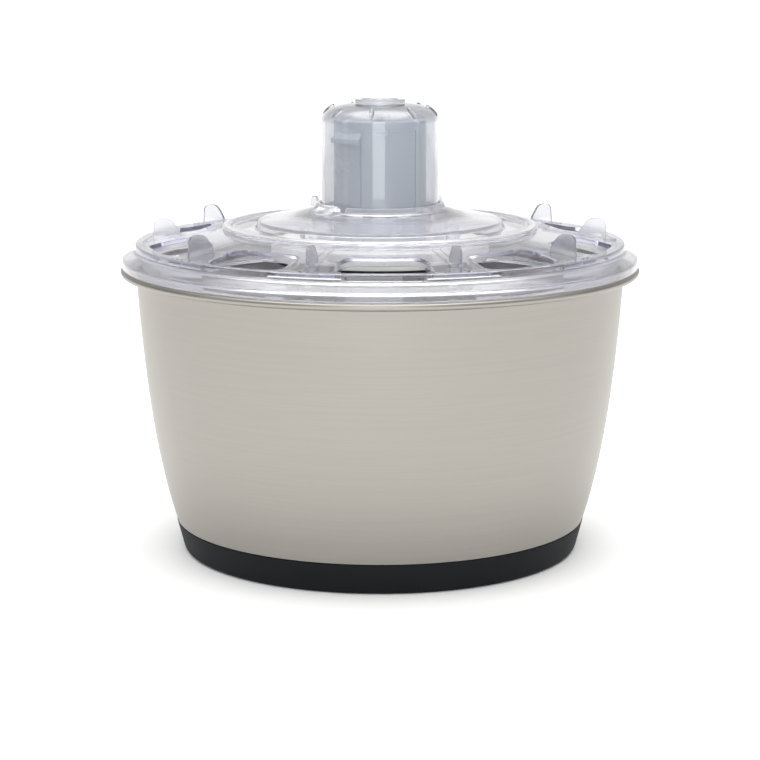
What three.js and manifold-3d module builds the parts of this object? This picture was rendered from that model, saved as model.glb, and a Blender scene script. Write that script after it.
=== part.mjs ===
// A press-top salad spinner: a steel bowl in a silicone foot, a perforated steel basket on a pivot, and a clear
// ring lid that carries the pump knob, its helical drive and the plate that turns the basket.
// Millimetres, +Z up, the origin on the table under the bowl's axis.

import * as THREE from 'three';
import { mergeVertices } from 'three/addons/utils/BufferGeometryUtils.js';
import { ConvexGeometry } from 'three/addons/geometries/ConvexGeometry.js';
import Module from 'manifold-3d';

const wasm = await Module();
wasm.setup();

// Clearance between pieces that touch or nearly touch.
const gap = 0.3;

// Bowl.
const rimRadius = 130;
const bowlHeight = 144;
const flangeWidth = 7.8;
const beadRadius = 1.8;
const bowlSheet = 1;
const footRadius = 103.6;
const bowlBend = 2.5;
const bowlCorner = 12;

// Silicone foot.
const footHeight = 15.4;
const footFloor = 3;
const footWall = 2.2;
const footTaper = 4;
const footCorner = 4;

// Pivot on the bowl's floor.
const pivotRadius = 3;
const pivotHeight = 8.5;
const pivotBossRadius = 12;
const pivotBossHeight = 1.8;

// Basket.
const basketGap = 7.5;
const basketLift = 7.7;
const basketSheet = 0.8;
const basketCorner = 10;
const basketRimBead = 1.5;
const basketBelowRim = 11;
const basketHoleRadius = 4.5;
const basketHoleColumns = 12;
const basketHoleRows = 2;
const hubFlangeRadius = 16;
const hubTubeRadius = 12.7;
const bushRadius = 6.6;

// Ring lid.
const lidSetback = 0.8;
const lowerTierHeight = 4.8;
const tierStep = 6.6;
const upperTierHeight = 12.1;
const lidWall = 2.2;
const skirtClearance = 2.1;
const skirtWall = 1.8;
const skirtDepth = 6.8;
const windowCount = 10;
const windowMargin = 6.4;
const windowLength = 24.7;
const windowHalfAngle = 11.5;
const windowCorner = 7.5;
const windowTurn = -89;
const finThickness = 1.6;
const finSetback = 8.6;
const finLength = 14;
const finHeight = 11;

// Dish in the middle of the lid.
const collarOuter = 79;
const collarInner = 74;
const collarHeight = 2.6;
const channelInner = 62.5;
const channelDrop = 1.9;
const coneRise = 6;
const lipWall = 1.9;
const lipHeight = 2.9;
const slotAngles = [-119, 61];
const slotHalfAngle = 5.5;
const hookCount = 4;
const hookHalfAngle = 5;

// Lock slider, whose angle is where its catch stands on the lip.
const catchAngle = -136;
const catchWidth = 14;
const catchLength = 7.5;
const catchTravel = 3;

// Pump knob and its sleeve.
const domeRadius = 29.5;
const domeDraft = 0.2;
const domeWall = 2;
const domeRise = 52;
const domeShoulderWidth = 12.5;
const domeShoulderHeight = 8.2;
const pumpTravel = 36;
const stopFlange = 2.2;
const capRadius = 12.7;
const capHeight = 1.7;
const sleeveRadius = 23;
const sleeveWall = 2;
const sleeveBelowDome = 5;
const postRadius = 4.5;
const knobScrewRadius = 1.9;
const faceAngles = [-112, -46];
const faceBelowTop = 4.5;
const lugAngles = [-152, -110];
const lugHeight = 6.3;

// Helical drive.
const helixLead = 30;
const helixCore = 10;
const helixCrest = 12.4;
const helixBore = 8;
const crestHalfAngle = 25;
const nutHeight = 8;
const screwFlangeRadius = 16.5;
const hexApothem = 10;
const clutchRadius = 15.8;
const clutchTeeth = 6;
const toothHeight = 2;
const clutchFloat = 1.5;
const springWire = 0.6;
const springRadius = 6.2;
const springTurns = 10;

// Housing under the dish.
const housingTopRadius = 44.5;
const housingFloorRadius = 36;
const housingWall = 2.5;
const housingFlange = 53;
const housingCollarInner = 36;
const housingCollarHeight = 5.6;
const housingCollarSkirt = 2.2;
const housingCollarWall = 1.4;
const housingBelowCollar = 12.9;
const housingDepth = 41;
const bossCircle = 48.7;
const bossRadius = 4;
const bossHoleRadius = 1.8;
const screwCount = 4;
const screwTurn = 45;

// Drive plate.
const plateThickness = 3;
const armCount = 5;
const armWidth = 14;
const hubBore = 13.6;
const driveSkirt = 6;
const driveBandWall = 0.8;
const driveBandGap = 0.5;

// Facets around the large, the middling and the small turned pieces.
const wide = 40;
const middling = 32;
const narrow = 20;

// Shape helpers

const radians = THREE.MathUtils.degToRad;

function polar(radius, degrees) {
  return new THREE.Vector2(radius * Math.cos(radians(degrees)), radius * Math.sin(radians(degrees)));
}

// Points on an arc, both ends included, as [radius, height] pairs.
function arc(centreR, centreZ, radius, fromDegrees, toDegrees, steps) {
  const points = [];
  for (let i = 0; i <= steps; i++) {
    const p = polar(radius, fromDegrees + (toDegrees - fromDegrees) * i / steps);
    points.push([centreR + p.x, centreZ + p.y]);
  }
  return points;
}

// Points on a cubic curve from start to end, both included. The shares place its two handles.
function wallCurve(start, end, steps) {
  const handle = (shareR, shareZ) => new THREE.Vector2(
    start[0] + (end[0] - start[0]) * shareR,
    start[1] + (end[1] - start[1]) * shareZ,
  );
  const curve = new THREE.CubicBezierCurve(
    new THREE.Vector2(...start), handle(0.53, 0.24), handle(0.82, 0.58), new THREE.Vector2(...end),
  );
  return curve.getPoints(steps).map((p) => [p.x, p.y]);
}

// Closed solid from a closed geometry: shared corners merged, slivers dropped, faces pointing out.
function solid(geometry) {
  const bare = (geometry.index ? geometry.toNonIndexed() : geometry).clone();
  bare.deleteAttribute('normal');
  bare.deleteAttribute('uv');
  const merged = mergeVertices(bare, 1e-4);
  const position = merged.getAttribute('position');
  const index = merged.getIndex().array;
  const [a, b, c] = [new THREE.Vector3(), new THREE.Vector3(), new THREE.Vector3()];
  const triangles = [];
  let volume = 0;
  for (let i = 0; i < index.length; i += 3) {
    const [p, q, r] = index.slice(i, i + 3);
    if (p !== q && q !== r && r !== p) {
      triangles.push(p, q, r);
      a.fromBufferAttribute(position, p);
      b.fromBufferAttribute(position, q);
      c.fromBufferAttribute(position, r);
      volume += a.dot(b.cross(c));
    }
  }
  if (volume < 0) {
    triangles.reverse();
  }
  return new wasm.Manifold(new wasm.Mesh({
    numProp: 3,
    vertProperties: Float32Array.from(position.array),
    triVerts: Uint32Array.from(triangles),
  }));
}

// A solid turned about Z from an outline of [radius, height] pairs that starts and ends on the axis.
function turned(outline, segments = narrow) {
  const geometry = new THREE.LatheGeometry(outline.map((p) => new THREE.Vector2(...p)), segments);
  return solid(geometry.rotateX(Math.PI / 2));
}

// A ring turned about Z from a closed outline that stays off the axis.
function ring(outline, segments = narrow) {
  return turned([...outline, outline[0]], segments);
}

// A plain ring or tube.
function tube(inner, outer, low, high, segments = narrow) {
  return ring([[inner, low], [outer, low], [outer, high], [inner, high]], segments);
}

// A plain round disc or peg.
function peg(radius, low, high, segments = narrow) {
  return turned([[0, low], [radius, low], [radius, high], [0, high]], segments);
}

// An outline in the XY plane, raised from one height to another.
function raised(outline, low, high) {
  const shape = new THREE.Shape(outline.map((p) => new THREE.Vector2(p.x, p.y)));
  const geometry = new THREE.ExtrudeGeometry(shape, { depth: high - low, bevelEnabled: false });
  return solid(geometry.translate(0, 0, low));
}

// An upright slab from an outline of [radius, height] pairs, of a given thickness, at an angle about Z.
function slab(outline, thickness, degrees) {
  const shape = new THREE.Shape(outline.map((p) => new THREE.Vector2(...p)));
  const geometry = new THREE.ExtrudeGeometry(shape, { depth: thickness, bevelEnabled: false });
  geometry.translate(0, 0, -thickness / 2).rotateX(Math.PI / 2).rotateZ(radians(degrees));
  return solid(geometry);
}

// A pie-shaped piece of a ring, between two angles.
function sector(inner, outer, low, high, fromDegrees, toDegrees, steps = 4) {
  const outline = [];
  for (let i = 0; i <= steps; i++) {
    outline.push(polar(outer, fromDegrees + (toDegrees - fromDegrees) * i / steps));
  }
  for (let i = steps; i >= 0; i--) {
    outline.push(polar(inner, fromDegrees + (toDegrees - fromDegrees) * i / steps));
  }
  return raised(outline, low, high);
}

// The height of a broken line of [radius, height] pairs at one radius.
function heightAt(line, radius) {
  for (let i = 1; i < line.length; i++) {
    const [[r0, z0], [r1, z1]] = [line[i - 1], line[i]];
    if ((radius - r0) * (radius - r1) <= 0) {
      return z0 + (z1 - z0) * (radius - r0) / (r1 - r0);
    }
  }
  return line[line.length - 1][1];
}

function joinAll(first, others) {
  return others.reduce((sum, item) => sum.add(item), first);
}

function cutAll(first, others) {
  return others.reduce((sum, item) => sum.subtract(item), first);
}

function around(count, startDegrees = 0) {
  return Array.from({ length: count }, (_, k) => startDegrees + 360 * k / count);
}

// Materials

const finishes = {
  brushedSteel: { color: 0xc9c3bb, roughness: 0.35, metalness: 1 },
  brightSteel: { color: 0xd4d2ce, roughness: 0.2, metalness: 1 },
  blackSilicone: { color: 0x17191d, roughness: 0.7, metalness: 0 },
  clearPlastic: { color: 0xe4e6ec, roughness: 0.1, metalness: 0 },
  bluePlastic: { color: 0xb4bfce, roughness: 0.3, metalness: 0 },
  blackPlastic: { color: 0x202226, roughness: 0.5, metalness: 0 },
  whitePlastic: { color: 0xe9e8e2, roughness: 0.45, metalness: 0 },
};

function mesh(name, body, finish) {
  const { vertProperties, triVerts } = body.getMesh();
  const geometry = new THREE.BufferGeometry();
  geometry.setAttribute('position', new THREE.Float32BufferAttribute(vertProperties, 3));
  geometry.setIndex(new THREE.Uint32BufferAttribute(triVerts, 1));
  geometry.computeVertexNormals();
  const piece = new THREE.Mesh(geometry, new THREE.MeshStandardMaterial(finishes[finish]));
  piece.name = name;
  return piece;
}

// Shared levels

// Bowl.
const flangeZ = bowlHeight - beadRadius;
const wallTopRadius = rimRadius - flangeWidth;
const bendCentre = [wallTopRadius + bowlBend, flangeZ - bowlSheet - bowlBend];
const steelFloor = footFloor + gap;
const insideFloor = steelFloor + bowlSheet;
const cornerCentre = [footRadius - footWall - bowlCorner, steelFloor + bowlCorner];

// Basket.
const basketFloor = insideFloor + basketLift;
const basketTop = bowlHeight - basketBelowRim;
const basketMouth = wallTopRadius - bowlSheet - basketGap - basketRimBead;
const hubFlangeLow = basketFloor - gap - 2.3;
const pivotTop = insideFloor + gap + pivotHeight;
const basketWallFoot = [footRadius - footWall - bowlSheet - basketGap + 5, basketFloor + basketCorner];
const bushLow = insideFloor + gap + pivotBossHeight + gap;
const bushFlangeTop = hubFlangeLow - 0.4;
const bushTop = pivotTop + gap + 1.5;

// Ring lid.
const lidBottom = bowlHeight + gap;
const lidLowerRadius = rimRadius - lidSetback;
const upperTierRadius = lidLowerRadius - tierStep;
const skirtRadius = wallTopRadius - bowlSheet - skirtClearance;
const windowOuter = upperTierRadius - windowMargin;
const windowInner = windowOuter - windowLength;
const finOuter = upperTierRadius - finSetback;
const finInner = finOuter - finLength;
const ledgeZ = lidBottom + lowerTierHeight;
const edgeZ = lidBottom + upperTierHeight;
const collarZ = edgeZ + 5.5;
const lidSurface = [
  [upperTierRadius - 3, edgeZ - 0.5],
  [finOuter, edgeZ - 0.5],
  [finInner, edgeZ + 2.3],
  [collarOuter, collarZ],
  [collarInner - 1, collarZ + 0.8],
];

// Housing.
const housingTopZ = collarZ - housingBelowCollar;
const housingFloorZ = housingTopZ - housingDepth;
const housingCollarTop = housingTopZ + gap + housingCollarHeight;

// Dish.
const collarTop = collarZ + collarHeight + gap;
const channelZ = collarTop - channelDrop;
const coneFoot = channelZ + 3.8;
const coneTop = coneFoot + coneRise;
const dishHole = domeRadius + 0.6;
const dishWall = 2;
const tubeInner = dishHole + stopFlange + 0.1;
const tubeBottom = housingTopZ + 2;
const hubUnderside = coneTop - dishWall - 0.4;

// Pump.
const domeTop = coneTop + domeRise;
const domeBottom = hubUnderside - gap - 2.8;
const sleeveTop = domeTop - domeWall - sleeveBelowDome - 0.5;
const sleeveBottom = housingFloorZ + 6 + pumpTravel;

// Drive, from the housing floor up.
const housingFloorTop = housingFloorZ + housingWall;
const crownLow = housingFloorTop + 1.4;
const crownHigh = crownLow + 2.1;
const clutchLow = crownHigh + toothHeight + clutchFloat + gap + toothHeight;
const clutchHigh = clutchLow + 4.5;
const screwFlangeLow = clutchHigh + gap;
const helixLow = screwFlangeLow + 2.4;
const nutLow = helixLow + 3 + pumpTravel;
const helixHigh = nutLow + nutHeight + 3;
const hexLow = clutchLow - toothHeight - 0.6;
const screwFloor = hexLow + 2.4;

// Drive plate.
const plateHigh = housingFloorZ - gap;
const plateLow = plateHigh - plateThickness;
const plateRimZ = basketTop + gap + 0.4;
const bandOuter = basketMouth - basketSheet - driveBandGap;
const plateSkirtOuter = bandOuter - driveBandWall - gap;
const plateFlangeOuter = basketMouth + 2 * basketRimBead - 0.6;

// Bowl and foot

function makeBowl() {
  const beadCentreR = rimRadius - beadRadius;
  const underAngle = -180 + THREE.MathUtils.radToDeg(Math.asin(bowlSheet / beadRadius));
  const outerStart = [footRadius, footHeight + gap];
  const outerEnd = [wallTopRadius, bendCentre[1]];
  const innerStart = [footRadius - bowlSheet, footHeight + gap + bowlSheet];
  const innerEnd = [wallTopRadius - bowlSheet, bendCentre[1]];
  const outline = [
    [0, steelFloor],
    ...arc(...cornerCentre, bowlCorner, -90, 0, 2),
    [footRadius - footWall, footHeight + gap],
    ...wallCurve(outerStart, outerEnd, 5),
    ...arc(...bendCentre, bowlBend, 180, 90, 2).slice(1),
    ...arc(beadCentreR, flangeZ, beadRadius, underAngle, 0, 2),
    ...arc(beadCentreR, flangeZ, beadRadius, 45, 180, 3),
    ...arc(...bendCentre, bowlBend + bowlSheet, 90, 180, 2),
    ...wallCurve(innerStart, innerEnd, 5).reverse().slice(1),
    ...arc(...cornerCentre, bowlCorner - bowlSheet, 0, -90, 2),
    [0, insideFloor],
  ];
  return turned(outline, wide);
}

function makeFoot() {
  const outline = [
    [0, 0],
    ...arc(footRadius - footTaper - footCorner + gap, footCorner, footCorner, -90, 0, 2),
    [footRadius + gap, footHeight],
    [footRadius - footWall + gap, footHeight],
    ...arc(...cornerCentre, bowlCorner + gap, 0, -90, 2),
    [0, footFloor],
  ];
  return turned(outline, wide);
}

function makePivotBoss() {
  const low = insideFloor + gap;
  return ring([
    [pivotRadius + gap, low],
    [pivotBossRadius, low],
    [pivotBossRadius, low + pivotBossHeight * 0.5],
    [pivotBossRadius - 2, low + pivotBossHeight],
    [pivotRadius + gap, low + pivotBossHeight],
  ]);
}

function makePivotPin() {
  return turned([
    [0, insideFloor + gap],
    [pivotRadius, insideFloor + gap],
    [pivotRadius, pivotTop - pivotRadius * 0.6],
    [pivotRadius * 0.7, pivotTop - pivotRadius * 0.2],
    [0, pivotTop],
  ]);
}

// Basket

function makeBasketBush() {
  return turned([
    [0, pivotTop + gap],
    [pivotRadius + gap, pivotTop + gap],
    [pivotRadius + gap, bushLow],
    [bushRadius + 2.6, bushLow],
    [bushRadius + 2.6, bushFlangeTop],
    [bushRadius, bushFlangeTop],
    [bushRadius, bushTop],
    [0, bushTop],
  ]);
}

function makeBasket() {
  const neck = [basketMouth, basketTop - 2 * basketRimBead];
  const beadCentre = [basketMouth + basketRimBead, basketTop - basketRimBead];
  const insideNeck = [neck[0] - basketSheet, neck[1]];
  const insideFoot = [basketWallFoot[0] - basketSheet, basketWallFoot[1]];
  const outline = [
    [hubTubeRadius + gap, basketFloor],
    ...arc(basketWallFoot[0] - basketCorner, basketWallFoot[1], basketCorner, -90, 0, 2),
    ...wallCurve(basketWallFoot, neck, 3).slice(1),
    ...arc(...beadCentre, basketRimBead, -90, 170, 3),
    ...wallCurve(insideFoot, insideNeck, 3).reverse(),
    ...arc(
      basketWallFoot[0] - basketCorner, basketWallFoot[1], basketCorner - basketSheet, 0, -90, 2,
    ).slice(1),
    [hubTubeRadius + gap, basketFloor + basketSheet],
  ];
  const cutters = [];
  const wallHeight = neck[1] - basketWallFoot[1];
  for (let row = 0; row < basketHoleRows; row++) {
    const z = basketWallFoot[1] + wallHeight * (row + 0.5) / basketHoleRows;
    for (const degrees of around(basketHoleColumns, row % 2 * 180 / basketHoleColumns)) {
      const hole = new THREE.CylinderGeometry(basketHoleRadius, basketHoleRadius, 40, 6);
      hole.rotateZ(Math.PI / 2).translate(basketMouth, 0, z).rotateZ(radians(degrees));
      cutters.push(solid(hole));
    }
  }
  for (const circle of [36, 64]) {
    for (const degrees of around(basketHoleColumns / 2, circle)) {
      const hole = new THREE.CylinderGeometry(basketHoleRadius, basketHoleRadius, 4 * basketSheet, 6);
      hole.rotateX(Math.PI / 2).translate(circle, 0, basketFloor).rotateZ(radians(degrees));
      cutters.push(solid(hole));
    }
  }
  return cutAll(ring(outline, wide), cutters);
}

function makeBasketHub() {
  const bore = bushRadius + 0.4;
  const top = basketFloor + basketSheet + gap + 2;
  return ring([
    [bore, hubFlangeLow],
    [hubFlangeRadius, hubFlangeLow],
    [hubFlangeRadius, basketFloor - gap],
    [hubTubeRadius, basketFloor - gap],
    [hubTubeRadius, top],
    [bore, top],
  ]);
}

function makeHubCap() {
  const low = basketFloor + basketSheet + gap;
  const inner = low + 2 + gap;
  return turned([
    [0, inner],
    [hubTubeRadius + gap, inner],
    [hubTubeRadius + gap, low],
    [hubFlangeRadius, low],
    [hubFlangeRadius, inner],
    [hubFlangeRadius - 3, inner + 1.8],
    [0, inner + 2.4],
  ]);
}

// Ring lid

// Outline of a window: part of a ring with its four corners rounded.
function windowOutline(centreDegrees) {
  const half = windowHalfAngle;
  const lean = (radius) => THREE.MathUtils.radToDeg(Math.asin(windowCorner / radius));
  const outerLean = half - lean(windowOuter - windowCorner);
  const innerLean = half - lean(windowInner + windowCorner);
  const side = [
    ...roundCorner(windowOuter - windowCorner, outerLean, outerLean, half + 90),
    ...roundCorner(windowInner + windowCorner, innerLean, half + 90, innerLean + 180),
  ];
  const mirrored = side.map((p) => new THREE.Vector2(p.x, -p.y)).reverse();
  const turn = radians(centreDegrees);
  return [...side, ...mirrored].map((p) => p.rotateAround(new THREE.Vector2(), turn));
}

function roundCorner(radius, degrees, from, to) {
  const centre = polar(radius, degrees);
  const points = [];
  for (let i = 0; i <= 2; i++) {
    points.push(polar(windowCorner, from + (to - from) * i / 2).add(centre));
  }
  return points;
}

function finOutline() {
  const top = heightAt(lidSurface, finOuter) + finHeight;
  const sink = lidWall / 2;
  return [
    [finInner, heightAt(lidSurface, finInner) - sink],
    [finOuter, heightAt(lidSurface, finOuter) - sink],
    [finOuter, top - 3],
    [finOuter - 0.9, top - 0.9],
    [finOuter - 3, top],
    [finOuter - 6, top - 0.3],
    [finOuter - 8.5, top - 2.5],
    [finInner, heightAt(lidSurface, finInner) + 0.4],
  ];
}

function makeLidRing() {
  const surface = lidSurface.map(([r, z]) => [r, z]);
  const underside = [...lidSurface].reverse().map(([r, z]) => [r, z - lidWall]);
  underside[underside.length - 1] = [skirtRadius - skirtWall, underside[underside.length - 1][1]];
  const outline = [
    [lidLowerRadius, lidBottom],
    [lidLowerRadius, ledgeZ - 0.8],
    [lidLowerRadius - 0.8, ledgeZ],
    [upperTierRadius + 1.1, ledgeZ + 3.1],
    [upperTierRadius, ledgeZ + 4.2],
    [upperTierRadius, edgeZ - 1],
    [upperTierRadius - 1, edgeZ],
    ...surface,
    ...underside,
    [skirtRadius - skirtWall, flangeZ + bowlSheet - skirtDepth],
    [skirtRadius, flangeZ + bowlSheet - skirtDepth],
    [skirtRadius, ledgeZ + 2.4],
    [upperTierRadius - 0.4, ledgeZ + 1.2],
    [lidLowerRadius - lidWall, ledgeZ - 2],
    [lidLowerRadius - lidWall, lidBottom],
  ];
  const low = edgeZ - 2 * lidWall;
  const windows = around(windowCount, windowTurn).map((a) => (
    raised(windowOutline(a), low, collarZ + lidWall)
  ));
  const finTurn = windowTurn + 180 / windowCount;
  const fins = around(windowCount, finTurn).map((a) => slab(finOutline(), finThickness, a));
  return joinAll(cutAll(ring(outline, wide), windows), fins);
}

function makeLidGasket() {
  const low = flangeZ - 4;
  const outer = wallTopRadius - bowlSheet - 0.4;
  return ring([
    [skirtRadius + gap, low],
    [outer - 0.5, low],
    [outer, low + 0.8],
    [outer, low + 2.4],
    [skirtRadius + gap, low + 3.2],
  ], wide);
}

// Dish

function makeDish() {
  const skirtOuter = collarInner - 1 - 0.4;
  const skirtInner = skirtOuter - 1.8;
  const skirtLow = collarZ + 0.8 - lidWall - 1.9;
  const outline = [
    [collarOuter, heightAt(lidSurface, collarOuter) + gap],
    [collarOuter, collarTop - 0.6],
    [collarOuter - 0.6, collarTop],
    [collarInner + 0.8, collarTop],
    [collarInner, channelZ],
    [channelInner, channelZ],
    [channelInner - 1.6, coneFoot],
    [dishHole + lipWall + 1, coneTop],
    [dishHole + lipWall, coneTop + lipHeight],
    [dishHole + 0.3, coneTop + lipHeight],
    [dishHole, coneTop + lipHeight - 0.6],
    [dishHole, hubUnderside],
    [tubeInner, hubUnderside],
    [tubeInner, tubeBottom],
    [tubeInner + dishWall, tubeBottom],
    [tubeInner + dishWall, coneTop - dishWall - 0.8],
    [channelInner - 3.2, coneFoot - dishWall],
    [channelInner - 1.8, channelZ - dishWall + 0.2],
    [skirtInner, channelZ - dishWall + 0.2],
    [skirtInner, skirtLow],
    [skirtOuter, skirtLow],
    [skirtOuter, collarZ + 0.8 + gap],
  ];
  const hookTop = collarZ + 0.8 - lidWall - 0.35;
  const hooks = around(hookCount, screwTurn).map((a) => (
    sector(skirtInner + 0.4, skirtOuter + 1.6, skirtLow, hookTop, a - hookHalfAngle, a + hookHalfAngle, 2)
  ));
  const bosses = around(screwCount, screwTurn).map((a) => {
    const at = polar(bossCircle, a);
    return peg(bossRadius, housingCollarTop + gap, coneFoot, 8).translate(at.x, at.y, 0);
  });
  const bossHoles = around(screwCount, screwTurn).map((a) => {
    const at = polar(bossCircle, a);
    return peg(bossHoleRadius, housingCollarTop, housingCollarTop + 8, 8).translate(at.x, at.y, 0);
  });
  const notchHalfAngle = THREE.MathUtils.radToDeg(Math.asin((catchWidth / 2 + 2 * gap) / dishHole));
  const notch = sector(
    dishHole - 1, dishHole + lipWall + 1.6, coneTop + 0.2, coneTop + lipHeight + 1,
    catchAngle - notchHalfAngle, catchAngle + notchHalfAngle,
  );
  const slots = slotAngles.map((a) => (
    sector(
      channelInner + 1.5, channelInner + 4, channelZ - 4, channelZ + 2, a - slotHalfAngle, a + slotHalfAngle,
    )
  ));
  return cutAll(joinAll(ring(outline, middling), [...hooks, ...bosses]), [...bossHoles, notch, ...slots]);
}

// Lock slider

function makeLockSlider() {
  const inner = dishHole + catchTravel + gap;
  const cone = [[dishHole + lipWall + 1, coneTop], [channelInner - 1.6, coneFoot]];
  const lie = (r) => heightAt(cone, r) + gap;
  return slab([
    [inner, coneTop + gap + 0.2],
    [inner + catchLength, lie(inner + catchLength) + 0.2],
    [inner + catchLength, lie(inner + catchLength) + 1.2],
    [inner + 4, lie(inner + 4) + 3.8],
    [inner + 2, coneTop + 4],
    [inner, coneTop + 2.4],
  ], catchWidth, catchAngle);
}

// Housing

function makeHousing() {
  const outline = [
    [hubBore, housingFloorZ],
    [housingFloorRadius, housingFloorZ],
    [housingTopRadius, housingTopZ - 3],
    [housingFlange, housingTopZ - 3],
    [housingFlange, housingTopZ],
    [housingTopRadius - housingWall, housingTopZ],
    [housingFloorRadius - housingWall, housingFloorTop],
    [hubBore, housingFloorTop],
  ];
  const holes = around(screwCount, screwTurn).map((a) => {
    const at = polar(bossCircle, a);
    return peg(bossHoleRadius, housingTopZ - 4, housingTopZ + 1, 8).translate(at.x, at.y, 0);
  });
  return cutAll(ring(outline, middling), holes);
}

// A white ring between the housing's flange and the dish's bosses, with a short skirt round the flange.
function makeHousingCollar() {
  const low = housingTopZ + gap;
  const skirtInside = housingFlange + gap;
  const outer = skirtInside + housingCollarWall;
  const body = ring([
    [housingCollarInner, low],
    [skirtInside, low],
    [skirtInside, low - housingCollarSkirt],
    [outer, low - housingCollarSkirt],
    [outer, housingCollarTop - 1.2],
    [outer - 1.2, housingCollarTop],
    [housingCollarInner, housingCollarTop],
  ], middling);
  const holes = around(screwCount, screwTurn).map((a) => {
    const at = polar(bossCircle, a);
    return peg(bossHoleRadius, low - 1, housingCollarTop + 1, 8).translate(at.x, at.y, 0);
  });
  return cutAll(body, holes);
}

function makeHousingScrew(degrees) {
  const at = polar(bossCircle, degrees);
  const headTop = housingTopZ - 3 - gap;
  return turned([
    [0, headTop - 2.2],
    [2.4, headTop - 2.2],
    [3.2, headTop - 1.4],
    [3.2, headTop],
    [1.5, headTop],
    [1.5, housingCollarTop + 6],
    [0, housingCollarTop + 7],
  ], 10).translate(at.x, at.y, 0);
}

// Pump knob

function makeDome() {
  const shoulderZ = domeTop - domeShoulderHeight - 0.5;
  const outerTop = domeRadius - domeDraft;
  const shoulder = [];
  const inside = [];
  for (let i = 0; i <= 3; i++) {
    const p = polar(1, 90 * i / 3);
    shoulder.push([
      outerTop - domeShoulderWidth + domeShoulderWidth * p.x,
      shoulderZ + domeShoulderHeight * p.y,
    ]);
    inside.unshift([
      outerTop - domeShoulderWidth + (domeShoulderWidth - domeWall) * p.x,
      shoulderZ - domeWall + domeShoulderHeight * p.y,
    ]);
  }
  return ring([
    [dishHole + stopFlange - 0.4, domeBottom],
    [dishHole + stopFlange - 0.4, domeBottom + 2.8],
    [domeRadius, domeBottom + 2.8],
    ...shoulder,
    [capRadius, domeTop],
    [capRadius - 2.7, domeTop],
    [capRadius - 2.7, domeTop - 1.3],
    [knobScrewRadius + 0.4, domeTop - 1.3],
    [knobScrewRadius + 0.4, domeTop - domeWall - 1],
    ...inside,
    [domeRadius - domeWall, domeBottom],
  ], 28);
}

function makeDomeCap() {
  const low = domeTop + gap;
  return turned([
    [0, low],
    [capRadius, low],
    [capRadius, low + capHeight - 0.6],
    [capRadius - 0.6, low + capHeight],
    [capRadius - 3, low + capHeight],
    [capRadius - 3.5, low + capHeight - 0.5],
    [0, low + capHeight - 0.5],
  ], 28);
}

function makeKnobScrew() {
  const headLow = domeTop - 1.3 + gap;
  return turned([
    [0, sleeveTop - 14],
    [knobScrewRadius, sleeveTop - 13],
    [knobScrewRadius, headLow],
    [4.4, headLow],
    [3.8, domeTop - 0.1],
    [0, domeTop - 0.1],
  ], 20);
}

function makeSleeve() {
  const inner = sleeveRadius - sleeveWall;
  const ceiling = sleeveTop - 2.2;
  const bore = knobScrewRadius + gap;
  const body = turned([
    [0, sleeveTop - 15],
    [bore, sleeveTop - 15],
    [bore, sleeveTop],
    [sleeveRadius - 1, sleeveTop],
    [sleeveRadius, sleeveTop - 1],
    [sleeveRadius, sleeveBottom],
    [inner, sleeveBottom],
    [inner, ceiling],
    [postRadius, ceiling],
    [postRadius, ceiling - 35],
    [0, ceiling - 35],
  ], 28);
  const face = sector(
    inner + 0.5, sleeveRadius + 1.2, sleeveBottom + 2, sleeveTop - faceBelowTop, ...faceAngles, 8,
  );
  const lugLow = coneTop + pumpTravel - 2.5;
  const ramp = [[20, lugLow + 8.6], [31, lugLow + 8.6], [31, lugLow + 2.2], [26, lugLow + 3]];
  const lug = cutAll(
    sector(inner + 0.5, domeRadius - domeWall - 0.9, lugLow, lugLow + lugHeight, ...lugAngles, 5),
    [slab(ramp, 30, (lugAngles[0] + lugAngles[1]) / 2)],
  );
  return joinAll(body, [face, lug]);
}

// Helical drive

// Turn of the helix at a height, in degrees.
function helixTurn(z) {
  return 360 * (z - helixLow) / helixLead;
}

function makeHelix() {
  const outline = [];
  for (const side of [0, 180]) {
    for (const [offset, radius] of [
      [-crestHalfAngle - 8, helixCore], [-crestHalfAngle, helixCrest], [0, helixCrest],
      [crestHalfAngle, helixCrest], [crestHalfAngle + 8, helixCore], [60, helixCore],
      [90, helixCore], [120, helixCore],
    ]) {
      outline.push(polar(radius, side + offset));
    }
  }
  const low = helixLow - 1;
  const steps = Math.ceil((helixHigh - low) / helixLead * 16);
  const geometry = new THREE.ExtrudeGeometry(new THREE.Shape(outline), {
    depth: helixHigh - low, steps, bevelEnabled: false,
  });
  geometry.translate(0, 0, low);
  const position = geometry.getAttribute('position');
  for (let i = 0; i < position.count; i++) {
    const p = new THREE.Vector2(position.getX(i), position.getY(i));
    p.rotateAround(new THREE.Vector2(), radians(helixTurn(position.getZ(i))));
    position.setXY(i, p.x, p.y);
  }
  return solid(geometry);
}

function hexPrism(apothem, low, high) {
  const corner = apothem / Math.cos(Math.PI / 6);
  return raised(around(6).map((a) => polar(corner, a)), low, high);
}

function makeDriveScrew() {
  const shaft = hexPrism(hexApothem, hexLow, screwFlangeLow + 1);
  const flange = peg(screwFlangeRadius, screwFlangeLow, helixLow);
  const bore = peg(helixBore, screwFloor, helixHigh + 1, 24);
  const spindleHole = peg(2.9, hexLow - 1, screwFloor + 1, 16);
  return cutAll(joinAll(makeHelix(), [shaft, flange]), [bore, spindleHole]);
}

function makeDriveNut() {
  const bore = helixCrest + 0.5;
  const middle = nutLow + nutHeight / 2;
  const body = tube(bore, sleeveRadius - sleeveWall - gap, nutLow, nutLow + nutHeight);
  const keys = [90, 270].map((a) => {
    const centre = helixTurn(middle) + a;
    return sector(helixCore + 0.5, bore + 2, middle - 1, middle + 1, centre - 18, centre + 18);
  });
  return joinAll(body, keys);
}

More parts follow.
